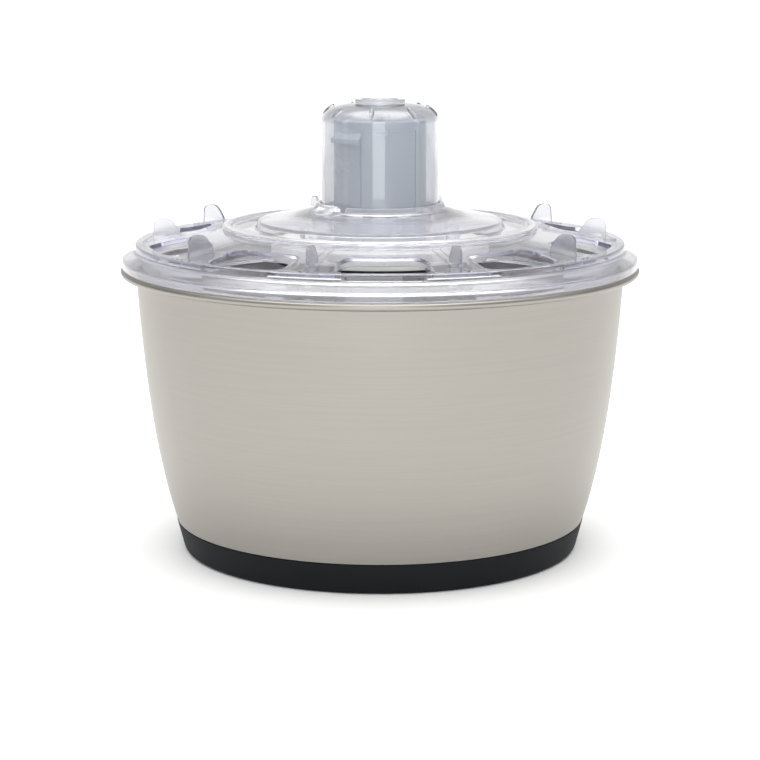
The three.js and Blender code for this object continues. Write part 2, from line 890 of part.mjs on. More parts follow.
function makeReturnSpring() {
  const low = screwFloor + 5.2 + springWire;
  const high = sleeveTop - 2.2 - gap - springWire;
  const points = [];
  const count = springTurns * 8;
  for (let i = 0; i <= count; i++) {
    const p = polar(springRadius, 360 * springTurns * i / count);
    points.push(new THREE.Vector3(p.x, p.y, low + (high - low) * i / count));
  }
  const section = new THREE.Shape(around(4).map((a) => polar(springWire, a)));
  return solid(new THREE.ExtrudeGeometry(section, {
    steps: count, bevelEnabled: false, extrudePath: new THREE.CatmullRomCurve3(points),
  }));
}

function makeSpringSeat() {
  const low = screwFloor + 3.7;
  return turned([
    [0, low],
    [helixBore - 0.4, low],
    [helixBore - 0.4, low + 1.2],
    [0, low + 1.2],
  ], 24);
}

// Saw teeth around a ring, each a ramp that ends in an upright face. Direction is 1 up, -1 down.
function sawTeeth(inner, outer, baseZ, direction) {
  const pitch = 360 / clutchTeeth;
  return around(clutchTeeth).map((a) => {
    const corners = [];
    for (const [share, height] of [[0, 0], [0.45, 0], [0.9, 0], [0.9, 1], [0.45, 0.5]]) {
      for (const radius of [inner, outer]) {
        const p = polar(radius, a + pitch * share);
        const sunk = height === 0 ? -0.5 : height * toothHeight;
        corners.push(new THREE.Vector3(p.x, p.y, baseZ + direction * sunk));
      }
    }
    return solid(new ConvexGeometry(corners));
  });
}

function makeClutchRing() {
  const body = peg(clutchRadius, clutchLow, clutchHigh).subtract(
    hexPrism(hexApothem + gap + 0.05, clutchLow - 1, clutchHigh + 1),
  );
  return joinAll(body, sawTeeth(12.4, clutchRadius, clutchLow, -1));
}

function makeClutchCrown() {
  const body = tube(2.8, clutchRadius + 0.7, crownLow, crownHigh);
  return joinAll(body, sawTeeth(12.4, clutchRadius, crownHigh, 1));
}

function makeSpindle() {
  const headLow = screwFloor + 0.3 + 0.8 + 0.3;
  return turned([
    [0, plateLow + 1.2],
    [2.4, plateLow + 1.2],
    [2.4, headLow],
    [5.5, headLow],
    [5.5, headLow + 1.4],
    [4.8, headLow + 2],
    [0, headLow + 2],
  ], 20);
}

function makeSpindleWasher() {
  return tube(2.8, 7, screwFloor + gap, screwFloor + gap + 0.8, 24);
}

function makeThrustWasher() {
  return tube(hubBore - 0.2, clutchRadius + 1, housingFloorTop + gap, crownLow - gap);
}

// Drive plate

function makeDrivePlate() {
  const hubTop = crownLow - gap;
  const hub = turned([
    [0, plateLow - 3],
    [7, plateLow - 3],
    [9, plateLow],
    [housingFloorRadius, plateLow],
    [housingFloorRadius, plateHigh],
    [hubBore - 0.6, plateHigh],
    [hubBore - 0.6, hubTop],
    [0, hubTop],
  ], narrow);
  const rim = ring([
    [plateSkirtOuter - 3, plateRimZ - driveSkirt],
    [plateSkirtOuter, plateRimZ - driveSkirt],
    [plateSkirtOuter, plateRimZ],
    [plateFlangeOuter, plateRimZ],
    [plateFlangeOuter, plateRimZ + 2],
    [plateSkirtOuter - 3, plateRimZ + 2],
  ], wide);
  const reach = plateSkirtOuter - 1;
  const armTop = plateRimZ - 0.5;
  const arms = around(armCount, 90).map((a) => slab([
    [housingFloorRadius - 8, plateLow],
    [housingFloorRadius + 3, plateLow],
    [reach, armTop - plateThickness],
    [reach, armTop],
    [housingFloorRadius + 3, plateHigh],
    [housingFloorRadius - 8, plateHigh],
  ], armWidth, a));
  const spindleHole = peg(2.7, plateLow + 0.8, hubTop + 1, 16);
  return joinAll(hub, [rim, ...arms]).subtract(spindleHole);
}

function makeDriveBand() {
  return tube(plateSkirtOuter + gap, bandOuter, plateRimZ - driveSkirt + 0.5, plateRimZ - 0.8 - gap, wide);
}

// Assembly

const spinner = new THREE.Group();

const bowlGroup = new THREE.Group();
bowlGroup.add(
  mesh('bowl', makeBowl(), 'brushedSteel'),
  mesh('base_grip', makeFoot(), 'blackSilicone'),
  mesh('pivot_boss', makePivotBoss(), 'whitePlastic'),
  mesh('pivot_pin', makePivotPin(), 'brightSteel'),
);

const basketGroup = new THREE.Group();
basketGroup.add(
  mesh('basket_bush', makeBasketBush(), 'whitePlastic'),
  mesh('basket', makeBasket(), 'brightSteel'),
  mesh('basket_hub', makeBasketHub(), 'blackPlastic'),
  mesh('hub_cap', makeHubCap(), 'blackPlastic'),
);

const lidGroup = new THREE.Group();
lidGroup.add(
  mesh('lid_ring', makeLidRing(), 'clearPlastic'),
  mesh('lid_gasket', makeLidGasket(), 'blackSilicone'),
  mesh('dish_cover', makeDish(), 'clearPlastic'),
  mesh('lock_slider', makeLockSlider(), 'clearPlastic'),
  mesh('mechanism_housing', makeHousing(), 'blackPlastic'),
  mesh('housing_collar', makeHousingCollar(), 'whitePlastic'),
  mesh('thrust_washer', makeThrustWasher(), 'whitePlastic'),
);
around(screwCount, screwTurn).forEach((degrees, k) => {
  lidGroup.add(mesh(`housing_screw_${k + 1}`, makeHousingScrew(degrees), 'brightSteel'));
});

const pumpGroup = new THREE.Group();
pumpGroup.add(
  mesh('pump_dome', makeDome(), 'clearPlastic'),
  mesh('dome_cap', makeDomeCap(), 'clearPlastic'),
  mesh('knob_screw', makeKnobScrew(), 'brightSteel'),
  mesh('pump_sleeve', makeSleeve(), 'bluePlastic'),
  mesh('drive_nut', makeDriveNut(), 'whitePlastic'),
  mesh('return_spring', makeReturnSpring(), 'brightSteel'),
);

const driveGroup = new THREE.Group();
driveGroup.add(
  mesh('drive_screw', makeDriveScrew(), 'whitePlastic'),
  mesh('spring_seat', makeSpringSeat(), 'whitePlastic'),
  mesh('clutch_ring', makeClutchRing(), 'whitePlastic'),
  mesh('clutch_crown', makeClutchCrown(), 'whitePlastic'),
  mesh('spindle', makeSpindle(), 'brightSteel'),
  mesh('spindle_washer', makeSpindleWasher(), 'brightSteel'),
  mesh('drive_plate', makeDrivePlate(), 'clearPlastic'),
  mesh('drive_band', makeDriveBand(), 'blackSilicone'),
);

spinner.add(bowlGroup, basketGroup, lidGroup, pumpGroup, driveGroup);

export default spinner;
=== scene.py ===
import math

import bmesh
import bpy
from mathutils import Matrix, Vector


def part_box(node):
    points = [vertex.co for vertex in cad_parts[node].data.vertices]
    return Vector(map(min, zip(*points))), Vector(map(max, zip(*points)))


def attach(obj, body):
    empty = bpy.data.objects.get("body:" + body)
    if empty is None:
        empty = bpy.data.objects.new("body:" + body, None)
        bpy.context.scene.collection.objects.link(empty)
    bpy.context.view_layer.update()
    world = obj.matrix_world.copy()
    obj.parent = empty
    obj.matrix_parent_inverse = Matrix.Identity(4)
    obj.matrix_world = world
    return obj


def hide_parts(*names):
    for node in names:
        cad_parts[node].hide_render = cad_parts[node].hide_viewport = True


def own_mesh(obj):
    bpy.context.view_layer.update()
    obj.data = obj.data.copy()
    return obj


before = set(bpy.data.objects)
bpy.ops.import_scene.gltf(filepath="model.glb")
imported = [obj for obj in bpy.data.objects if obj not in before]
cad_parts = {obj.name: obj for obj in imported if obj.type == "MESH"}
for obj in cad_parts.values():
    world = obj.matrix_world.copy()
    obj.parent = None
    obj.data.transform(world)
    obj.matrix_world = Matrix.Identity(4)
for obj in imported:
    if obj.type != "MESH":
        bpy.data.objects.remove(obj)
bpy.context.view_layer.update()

mm = 0.001
print("frame loaded with %d nodes" % len(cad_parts))


# all sizes are in millimetres until a mesh is made
gap = 0.3  # between neighbouring pieces


def place(node):
    # lowest height, highest height and outer radius of a turned node
    low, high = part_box(node)
    return low[2] / mm, high[2] / mm, high[0] / mm


def polar(radius, degrees, z=0.0):
    angle = math.radians(degrees)
    return Vector((radius * math.cos(angle), radius * math.sin(angle), z))


def filleted(points, closed=True, steps=4):
    # each point is (across, up) or (across, up, radius), and a radius rounds that corner
    smooth = []
    for i, point in enumerate(points):
        here = Vector(point[:2])
        radius = point[2] if len(point) > 2 else 0
        if radius == 0 or (not closed and i in (0, len(points) - 1)):
            smooth.append(here)
            continue
        before = Vector(points[i - 1][:2]) - here
        after = Vector(points[(i + 1) % len(points)][:2]) - here
        half = before.angle(after) / 2
        reach = min(radius / math.tan(half), before.length * 0.48, after.length * 0.48)
        start = here + before.normalized() * reach
        end = here + after.normalized() * reach
        for k in range(steps + 1):
            t = k / steps
            smooth.append(start * (1 - t) ** 2 + here * 2 * t * (1 - t) + end * t ** 2)
    return smooth


def arcPoints(centre, radius, start, end, steps):
    angles = [start + (end - start) * k / steps for k in range(steps + 1)]
    return [Vector(centre) + polar(radius, angle).to_2d() for angle in angles]


def cubicWall(start, end, steps, shares=((0.53, 0.24), (0.82, 0.58))):
    # the bowl's and the basket's wall: a cubic whose two handles are shares of the way across and up
    a, d = Vector(start), Vector(end)
    b, c = [Vector((a.x + (d.x - a.x) * s, a.y + (d.y - a.y) * u)) for s, u in shares]
    wall = []
    for k in range(steps + 1):
        t = k / steps
        wall.append(a * (1 - t) ** 3 + b * 3 * t * (1 - t) ** 2 + c * 3 * t ** 2 * (1 - t) + d * t ** 3)
    return wall


def shadeByAngle(mesh, degrees=32):
    mesh.shade_smooth()
    mesh.set_sharp_from_angle(angle=math.radians(degrees))


def objectFrom(name, data):
    made = bpy.data.objects.new(name, data)
    bpy.context.collection.objects.link(made)
    return made


def pieceFrom(name, bm, material, sharp=32):
    # merges doubles, turns faces outwards and makes an object at the origin
    bmesh.ops.remove_doubles(bm, verts=bm.verts, dist=0.002 * mm)
    bmesh.ops.recalc_face_normals(bm, faces=bm.faces)
    mesh = bpy.data.meshes.new(name)
    bm.to_mesh(mesh)
    bm.free()
    shadeByAngle(mesh, sharp)
    if material:
        mesh.materials.append(material)
    return objectFrom(name, mesh)


def turnInto(bm, outline, segments=128, closed=True):
    # sweeps an outline of (radius, height) round Z; an open one starts and ends on the axis
    rings = []
    for point in outline:
        if point[0] < 1e-6:
            rings.append([bm.verts.new((0, 0, point[1] * mm))] * segments)
        else:
            rings.append([
                bm.verts.new(polar(point[0], 360 * k / segments, point[1]) * mm) for k in range(segments)
            ])
    pairs = list(zip(rings, rings[1:]))
    if closed:
        pairs.append((rings[-1], rings[0]))
    for low, high in pairs:
        for k in range(segments):
            n = (k + 1) % segments
            corners = list(dict.fromkeys([low[k], low[n], high[n], high[k]]))
            if len(corners) > 2:
                bm.faces.new(corners)


def turned(name, outline, material, segments=128, closed=True, sharp=32):
    bm = bmesh.new()
    turnInto(bm, outline, segments, closed)
    return pieceFrom(name, bm, material, sharp)


def slabInto(bm, outline, thickness, degrees=0.0, edge=0.0, aside=0.0):
    # an upright slab from an outline of (radius, height), set aside along Y and turned about Z
    # edge breaks its outer corners
    turn = Matrix.Rotation(math.radians(degrees), 4, "Z")
    points = [Vector(p[:2]) for p in outline]
    centre = sum(points, Vector((0, 0))) / len(points)
    reach = max((p - centre).length for p in points)
    half = thickness / 2
    layers = [(-half, 1), (half, 1)]
    if edge:
        layers = [(-half, 1 - edge / reach), (edge - half, 1), (half - edge, 1), (half, 1 - edge / reach)]
    sides = []
    for y, share in layers:
        spots = [centre + (p - centre) * share for p in points]
        sides.append([bm.verts.new(turn @ Vector((p.x, y + aside, p.y)) * mm) for p in spots])
    bm.faces.new(sides[0])
    bm.faces.new(sides[-1][::-1])
    for near, far in zip(sides, sides[1:]):
        for k in range(len(points)):
            n = (k + 1) % len(points)
            bm.faces.new([near[k], far[k], far[n], near[n]])


def raisedInto(bm, outline, low, high):
    # an outline in the XY plane, raised from one height to another; each height may be a function of (x, y)
    levels = []
    for level in (low, high):
        heights = [level(p) if callable(level) else level for p in outline]
        levels.append([bm.verts.new(Vector((p[0], p[1], z)) * mm) for p, z in zip(outline, heights)])
    bm.faces.new(levels[0][::-1])
    bm.faces.new(levels[1])
    for k in range(len(outline)):
        n = (k + 1) % len(outline)
        bm.faces.new([levels[0][k], levels[0][n], levels[1][n], levels[1][k]])


def sectorOutline(inner, outer, start, end, corner=0.8, steps=8):
    loop = []
    for line in (arcPoints((0, 0), outer, start, end, steps), arcPoints((0, 0), inner, end, start, steps)):
        for k, p in enumerate(line):
            loop.append((p.x, p.y, corner) if k in (0, steps) else (p.x, p.y))
    return filleted(loop, steps=3)


def plainMesh(piece):
    # the evaluated result becomes the piece's own mesh, and its modifiers go
    graph = bpy.context.evaluated_depsgraph_get()
    graph.update()
    mesh = bpy.data.meshes.new_from_object(piece.evaluated_get(graph))
    mesh.name = piece.name
    piece.modifiers.clear()
    old = piece.data
    piece.data = mesh
    bpy.data.meshes.remove(old)


def combine(piece, tool, operation, sharp=32):
    # joins or cuts with a second closed mesh, which is used up
    step = piece.modifiers.new("combine", "BOOLEAN")
    step.object = tool
    step.operation = operation
    step.solver = "MANIFOLD"
    material = piece.data.materials[0] if piece.data.materials else None
    plainMesh(piece)
    bpy.data.objects.remove(tool)
    piece.data.materials.clear()
    if material:
        piece.data.materials.append(material)
    shadeByAngle(piece.data, sharp)
    return piece


def declare(piece, body, slot, *nodes):
    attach(piece, body)
    if nodes:
        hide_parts(*nodes)


def setNode(tree, node, settings=None, links=None):
    # a key names a property of the node or, failing that, one of its inputs
    for key, value in (settings or {}).items():
        if isinstance(key, str) and hasattr(node, key):
            setattr(node, key, value)
        else:
            node.inputs[key].default_value = value
    for key, source in (links or {}).items():
        tree.links.new(source, node.inputs[key])
    return node


def addNode(tree, kind, settings=None, links=None):
    return setNode(tree, tree.nodes.new(kind), settings, links)


def setStops(ramp, *stops):
    # each stop is (position, colour)
    marks = ramp.color_ramp.elements
    for position, colour in stops[1:-1]:
        marks.new(position)
    for mark, (position, colour) in zip(marks, stops):
        mark.position = position
        mark.color = colour


def linearColour(code, alpha=1.0):
    # sRGB hex to the linear values that a shader takes
    parts = [int(code[k:k + 2], 16) / 255 for k in (0, 2, 4)]
    return tuple(c / 12.92 if c <= 0.04045 else ((c + 0.055) / 1.055) ** 2.4 for c in parts) + (alpha,)


def geometryTree(name, inputs):
    # inputs maps each input's name to its kind; what comes back is the tree and where those inputs come in
    tree = bpy.data.node_groups.new(name, "GeometryNodeTree")
    for title, kind in {"Geometry": "Geometry", **inputs, "Material": "Material"}.items():
        tree.interface.new_socket(title, in_out="INPUT", socket_type="NodeSocket" + kind)
    tree.interface.new_socket("Geometry", in_out="OUTPUT", socket_type="NodeSocketGeometry")
    return tree, addNode(tree, "NodeGroupInput").outputs


def paintedOutput(tree, geometry, material):
    real = addNode(tree, "GeometryNodeRealizeInstances", links={0: geometry})
    painted = addNode(tree, "GeometryNodeSetMaterial", links={
        "Geometry": real.outputs[0], "Material": material,
    })
    addNode(tree, "NodeGroupOutput", links={0: painted.outputs[0]})
    return tree


def ringTree():
    tree, given = geometryTree("copiesRoundAxis", {"Piece": "Object", "Count": "Int", "First angle": "Float"})
    points = addNode(tree, "GeometryNodePoints", links={"Count": given["Count"]})
    index = addNode(tree, "GeometryNodeInputIndex")
    pitch = addNode(tree, "ShaderNodeMath", {"operation": "DIVIDE", 0: math.tau}, {1: given["Count"]})
    angle = addNode(tree, "ShaderNodeMath", {"operation": "MULTIPLY_ADD"}, {
        0: index.outputs[0], 1: pitch.outputs[0], 2: given["First angle"],
    })
    turn = addNode(tree, "ShaderNodeCombineXYZ", links={"Z": angle.outputs[0]})
    source = addNode(tree, "GeometryNodeObjectInfo", links={"Object": given["Piece"]})
    copies = addNode(tree, "GeometryNodeInstanceOnPoints", links={
        "Points": points.outputs[0], "Instance": source.outputs["Geometry"], "Rotation": turn.outputs[0],
    })
    return paintedOutput(tree, copies.outputs[0], given["Material"])


copiesRoundAxis = ringTree()


def addTree(piece, tree, values):
    # inputs are set by their identifiers, before the object is first evaluated
    modifier = piece.modifiers.new(tree.name, "NODES")
    modifier.node_group = tree
    for item in tree.interface.items_tree:
        if item.item_type == "SOCKET" and item.in_out == "INPUT" and item.name in values:
            modifier[item.identifier] = values[item.name]


def grown(name, tree, values, sharp):
    piece = objectFrom(name, bpy.data.meshes.new(name))
    addTree(piece, tree, values)
    plainMesh(piece)
    shadeByAngle(piece.data, sharp)
    return piece


def roundAxis(name, bm, count, firstDegrees, material, sharp=32):
    # bm is one copy's mesh, or an object made from one
    source = bm if isinstance(bm, bpy.types.Object) else pieceFrom(name, bm, None)
    ring = grown(name, copiesRoundAxis, {
        "Piece": source, "Count": count, "First angle": math.radians(firstDegrees), "Material": material,
    }, sharp)
    bpy.data.objects.remove(source)
    ring.name = name
    return ring


def newMaterial(name):
    material = bpy.data.materials.new(name)
    material.use_nodes = True
    tree = material.node_tree
    tree.nodes.clear()
    shader = addNode(tree, "ShaderNodeBsdfPrincipled")
    addNode(tree, "ShaderNodeOutputMaterial", links={"Surface": shader.outputs[0]})
    return material, tree, shader


def ownPoint(tree):
    return addNode(tree, "ShaderNodeTexCoord").outputs["Object"]


def aboutAxis(tree):
    # a point's own X, Y and Z, and its distance from the axis
    where = ownPoint(tree)
    flat = addNode(tree, "ShaderNodeVectorMath", {"operation": "MULTIPLY", 1: (1, 1, 0)}, {0: where})
    away = addNode(tree, "ShaderNodeVectorMath", {"operation": "LENGTH"}, {0: flat.outputs[0]})
    return addNode(tree, "ShaderNodeSeparateXYZ", links={0: where}).outputs, away.outputs["Value"]


def grainAlongTurns(tree, lines, along):
    # noise drawn out round the axis: fine across radius and height, long round the turn
    parts, radius = aboutAxis(tree)
    depth = addNode(tree, "ShaderNodeMath", {"operation": "ADD"}, {0: parts["Z"], 1: radius})
    across = addNode(tree, "ShaderNodeMath", {"operation": "MULTIPLY", 1: lines / along}, {
        0: depth.outputs[0],
    })
    joined = addNode(tree, "ShaderNodeCombineXYZ", links={
        "X": parts["X"], "Y": parts["Y"], "Z": across.outputs[0],
    })
    return addNode(tree, "ShaderNodeTexNoise", {"Scale": along, "Detail": 3.0, "Roughness": 0.6}, {
        "Vector": joined.outputs[0],
    }).outputs["Fac"]


bowlSteelLook = {
    "light": "9f9b94",
    "dark": "9b9791",
    "grainWidth": 0.5,  # millimetres; the real belt grit is nearer 0.1, too fine to show
    "grainLength": 70,
    "roughness": (0.34, 0.37),
    "bump": 0.01,
    "anisotropy": 0.5,
}


def brushedStainless(name, look):
    # 18/10 stainless turned against a belt: soft, broad reflections drawn out across the grain
    material, tree, shader = newMaterial(name)
    grain = grainAlongTurns(tree, 1000 / look["grainWidth"] / 2, 1000 / look["grainLength"])
    clouds = addNode(tree, "ShaderNodeTexNoise", {"Scale": 14.0, "Detail": 2.0}, {"Vector": ownPoint(tree)})
    colour = addNode(tree, "ShaderNodeValToRGB", links={0: grain})
    setStops(colour, (0.3, linearColour(look["dark"])), (0.7, linearColour(look["light"])))
    mixed = addNode(tree, "ShaderNodeMath", {"operation": "MULTIPLY_ADD", 1: 0.35}, {
        0: clouds.outputs["Fac"], 2: grain,
    })
    low, high = look["roughness"]
    rough = addNode(tree, "ShaderNodeMapRange", {
        "From Min": 0.4, "From Max": 0.95, "To Min": low, "To Max": high,
    }, {"Value": mixed.outputs[0]})
    bump = addNode(tree, "ShaderNodeBump", {"Strength": look["bump"], "Distance": 0.0002}, {"Height": grain})
    tangent = addNode(tree, "ShaderNodeTangent", {"direction_type": "RADIAL", "axis": "Z"})
    setNode(tree, shader, {"Metallic": 1.0, "Anisotropic": look["anisotropy"]}, {
        "Base Color": colour.outputs[0], "Roughness": rough.outputs[0], "Normal": bump.outputs[0],
        "Tangent": tangent.outputs[0],
    })
    return material


def brightPlate(name, colour, roughness):
    # bright rolled or zinc plated steel: nearly a mirror, with faint drawing marks and finger haze
    material, tree, shader = newMaterial(name)
    noise = addNode(tree, "ShaderNodeTexNoise", {"Scale": 320.0, "Detail": 4.0}, {"Vector": ownPoint(tree)})
    marks = noise.outputs["Fac"]
    rough = addNode(tree, "ShaderNodeMapRange", {"To Min": roughness * 0.7, "To Max": roughness * 1.5}, {
        "Value": marks,
    })
    bump = addNode(tree, "ShaderNodeBump", {"Strength": 0.06, "Distance": 0.0001}, {"Height": marks})
    setNode(tree, shader, {"Metallic": 1.0, "Base Color": linearColour(colour)}, {
        "Roughness": rough.outputs[0], "Normal": bump.outputs[0],
    })
    return material


def mouldedPlastic(name, colour, patch, roughness, grit, bumpStrength, ior=1.53, specular=0.5):
    # injection moulded and opaque: a fine spark-eroded texture under a thin gloss
    material, tree, shader = newMaterial(name)
    where = ownPoint(tree)
    texture = addNode(tree, "ShaderNodeTexNoise", {"Scale": 1000 / grit, "Detail": 2.0}, {"Vector": where})
    patches = addNode(tree, "ShaderNodeTexNoise", {"Scale": 25.0, "Detail": 3.0}, {"Vector": where})
    clouds = patches.outputs["Fac"]
    tone = addNode(tree, "ShaderNodeValToRGB", links={0: clouds})
    setStops(tone, (0.35, linearColour(colour)), (0.75, linearColour(patch)))
    rough = addNode(tree, "ShaderNodeMapRange", {"To Min": roughness - 0.07, "To Max": roughness + 0.07}, {
        "Value": clouds,
    })
    bump = addNode(tree, "ShaderNodeBump", {"Strength": bumpStrength, "Distance": 0.0001}, {
        "Height": texture.outputs["Fac"],
    })
    setNode(tree, shader, {"IOR": ior, "Specular IOR Level": specular}, {
        "Base Color": tone.outputs[0], "Roughness": rough.outputs[0], "Normal": bump.outputs[0],
    })
    return material


def clearMoulding(name, colour, roughness, tint, density, waviness, clarity, frost=None):
    # clear styrene-acrylonitrile: glossy, a little violet in its thick edges, with a moulding's slow waves
    material, tree, shader = newMaterial(name)
    noise = addNode(tree, "ShaderNodeTexNoise", {"Scale": 55.0, "Detail": 1.0}, {"Vector": ownPoint(tree)})
    waves = noise.outputs["Fac"]
    bump = addNode(tree, "ShaderNodeBump", {"Strength": waviness, "Distance": 0.0004}, {"Height": waves})
    rough = addNode(tree, "ShaderNodeMapRange", {"To Min": roughness * 0.6, "To Max": roughness * 1.4}, {
        "Value": waves,
    })
    setNode(tree, shader, {
        "Base Color": linearColour(colour), "Transmission Weight": clarity, "IOR": styreneIor,
    }, {"Normal": bump.outputs[0]})
    if frost:
        # faces beyond a radius and above a height are spark eroded and scatter what is behind them
        parts, away = aboutAxis(tree)
        above = addNode(tree, "ShaderNodeMapRange", {
            "From Min": frost["height"] * mm, "From Max": (frost["height"] + 1.5) * mm,
        }, {"Value": parts["Z"]})
        outside = addNode(tree, "ShaderNodeMath", {"operation": "GREATER_THAN", 1: frost["radius"] * mm}, {
            0: away,
        })
        both = addNode(tree, "ShaderNodeMath", {"operation": "MULTIPLY"}, {
            0: above.outputs[0], 1: outside.outputs[0],
        })
        rough = addNode(tree, "ShaderNodeMath", {"operation": "MULTIPLY_ADD", 1: frost["roughness"]}, {
            0: both.outputs[0], 2: rough.outputs[0],
        })
        tone = addNode(tree, "ShaderNodeValToRGB", links={0: both.outputs[0]})
        setStops(tone, (0.0, linearColour(colour)), (1.0, linearColour(frost["colour"])))
        setNode(tree, shader, links={"Base Color": tone.outputs[0]})
    # lamps shine straight through, so that what stands behind the moulding is lit
    path = addNode(tree, "ShaderNodeLightPath")
    passing = addNode(tree, "ShaderNodeBsdfTransparent", {"Color": (0.93, 0.93, 0.95, 1)})
    mixed = addNode(tree, "ShaderNodeMixShader", links={
        0: path.outputs["Is Shadow Ray"], 1: shader.outputs[0], 2: passing.outputs[0],
    })
    volume = addNode(tree, "ShaderNodeVolumeAbsorption", {"Color": linearColour(tint), "Density": density})
    setNode(tree, shader, links={"Roughness": rough.outputs[0]})
    setNode(tree, tree.nodes["Material Output"], links={
        "Surface": mixed.outputs[0], "Volume": volume.outputs[0],
    })
    return material


styreneIor = 1.57
bowlSteel = brushedStainless("brushed stainless bowl", bowlSteelLook)
basketSteel = brushedStainless("bright rolled stainless basket", {
    **bowlSteelLook, "light": "d2d0cc", "dark": "c2bfba", "roughness": (0.2, 0.3), "anisotropy": 0.3,
})
screwSteel = brightPlate("zinc plated screw steel", "cfd0d2", 0.2)
springSteel = brightPlate("drawn spring steel", "b9bbbd", 0.26)
footSilicone = mouldedPlastic("matt black moulded silicone", "0b0d10", "101317", 0.62, 0.5, 0.15, 1.41, 0.25)
sealSilicone = mouldedPlastic("smooth black silicone seal", "121417", "17191d", 0.42, 0.5, 0.08, 1.41)
clearPlastic = clearMoulding("clear moulded SAN", "fafafb", 0.02, "c4c0fa", 9.0, 0.004, 0.93)
lidPlastic = clearMoulding("clear moulded SAN with frosted fins", "f0f0f1", 0.02, "b8b3fa", 12.0, 0.004, 0.95, {
    "radius": 98.5, "height": 158.5, "roughness": 0.2, "colour": "d6d6da",
})
knobPlastic = clearMoulding("clear moulded SAN of the knob", "d8dadd", 0.04, "d8d8e2", 10.0, 0.006, 0.93)
blackPlastic = mouldedPlastic("black moulded ABS", "17181b", "1e2024", 0.42, 0.7, 0.2)
whiteAcetal = mouldedPlastic("natural white acetal", "dddcd6", "e6e5df", 0.36, 0.6, 0.08, 1.48)


def milkySleeve(name, colour, roughness):
    # blue-grey translucent styrene: light passes, shapes behind it don't
    material, tree, shader = newMaterial(name)
    noise = addNode(tree, "ShaderNodeTexNoise", {"Scale": 30.0, "Detail": 2.0}, {"Vector": ownPoint(tree)})
    clouds = noise.outputs["Fac"]
    tone = addNode(tree, "ShaderNodeValToRGB", links={0: clouds})
    setStops(tone, (0.0, linearColour(colour[0])), (1.0, linearColour(colour[1])))
    rough = addNode(tree, "ShaderNodeMapRange", {"To Min": roughness - 0.04, "To Max": roughness + 0.04}, {
        "Value": clouds,
    })
    setNode(tree, shader, {"Transmission Weight": 0.35, "IOR": styreneIor}, {
        "Base Color": tone.outputs[0], "Roughness": rough.outputs[0],
    })
    return material


sleevePlastic = milkySleeve("blue grey translucent styrene", ("d6dfe9", "dde5ed"), 0.26)
print("materials made")


bowlShape = {
    "segments": 192,
    "wallSteps": 30,
    "sheet": 1.0,
    "footRadius": 103.6,
    "footSet": 2.2,      # how far the wall steps in behind the silicone foot
    "footTop": 15.7,
    "corner": 12.0,
    "flange": 7.8,
    "bead": 1.8,
    "bend": 2.5,
}


def makeBowl():
    shape = bowlShape
    low, high, rim = place("bowl")
    sheet, bead, bend = shape["sheet"], shape["bead"], shape["bend"]
    flangeZ = high - bead
    wallTop = rim - shape["flange"]
    bendCentre = (wallTop + bend, flangeZ - sheet - bend)
    corner = (shape["footRadius"] - shape["footSet"] - shape["corner"], low + shape["corner"])
    under = -180 + math.degrees(math.asin(sheet / bead))
    foot, steps = (shape["footRadius"], shape["footTop"]), shape["wallSteps"]
    outside = cubicWall(foot, (wallTop, bendCentre[1]), steps)
    inside = cubicWall((foot[0] - sheet, foot[1] + sheet), (wallTop - sheet, bendCentre[1]), steps)
    stepTop = low + sheet + 0.5
    outline = [
        (0, low + 0.2),
        *arcPoints(corner, shape["corner"], -90, 0, 8),
        (shape["footRadius"] - shape["footSet"], shape["footTop"]),
        *outside,
        *arcPoints(bendCentre, bend, 180, 90, 6)[1:],
        *arcPoints((rim - bead, flangeZ), bead, under, 180, 18),
        *arcPoints(bendCentre, bend + sheet, 90, 180, 6),
        *inside[::-1][1:],
        *arcPoints(corner, shape["corner"] - sheet, 0, -90, 8),
        # the floor is pressed into a step that stiffens it
        (86, low + sheet), (84.5, stepTop), (83, stepTop), (0, stepTop),
    ]
    return turned("bowl_shell", outline, bowlSteel, shape["segments"], closed=False, sharp=40)


bowl = makeBowl()
declare(bowl, "bowl_base", "brushed_bowl_steel", "bowl")

footShape = {"wall": 2.2, "taper": 4.0, "corner": 4.0, "lip": 0.5, "grooves": (34, 62, 88), "grooveWidth": 3.0}


def makeFoot():
    shape = footShape
    low, high, outer = place("base_grip")
    bowlLow = place("bowl")[0]
    bend = bowlShape["corner"]
    corner = (bowlShape["footRadius"] - bowlShape["footSet"] - bend, bowlLow + bend)
    under = [(0, low + 0.8)]
    for radius in shape["grooves"]:
        width = shape["grooveWidth"] / 2
        under += [(radius - width, low + 0.8, 0.4), (radius - width + 0.6, low, 0.3)]
        under += [(radius + width - 0.6, low, 0.3), (radius + width, low + 0.8, 0.4)]
    outline = [
        *under,
        (outer - shape["taper"] - shape["corner"] - 3, low + 0.8, 0.3),
        (outer - shape["taper"] - shape["corner"] - 2.2, low, 0.3),
        (outer - shape["taper"], low, shape["corner"]),
        (outer, high, shape["lip"]),
        (outer - shape["wall"], high, 0.3),
        *[(p.x, p.y) for p in arcPoints(corner, bend + gap, 0, -90, 8)],
        (0, bowlLow - gap),
    ]
    return turned("silicone_foot", filleted(outline, closed=False), footSilicone, bowlShape["segments"], False)


foot = makeFoot()
declare(foot, "bowl_base", "black_silicone", "base_grip")


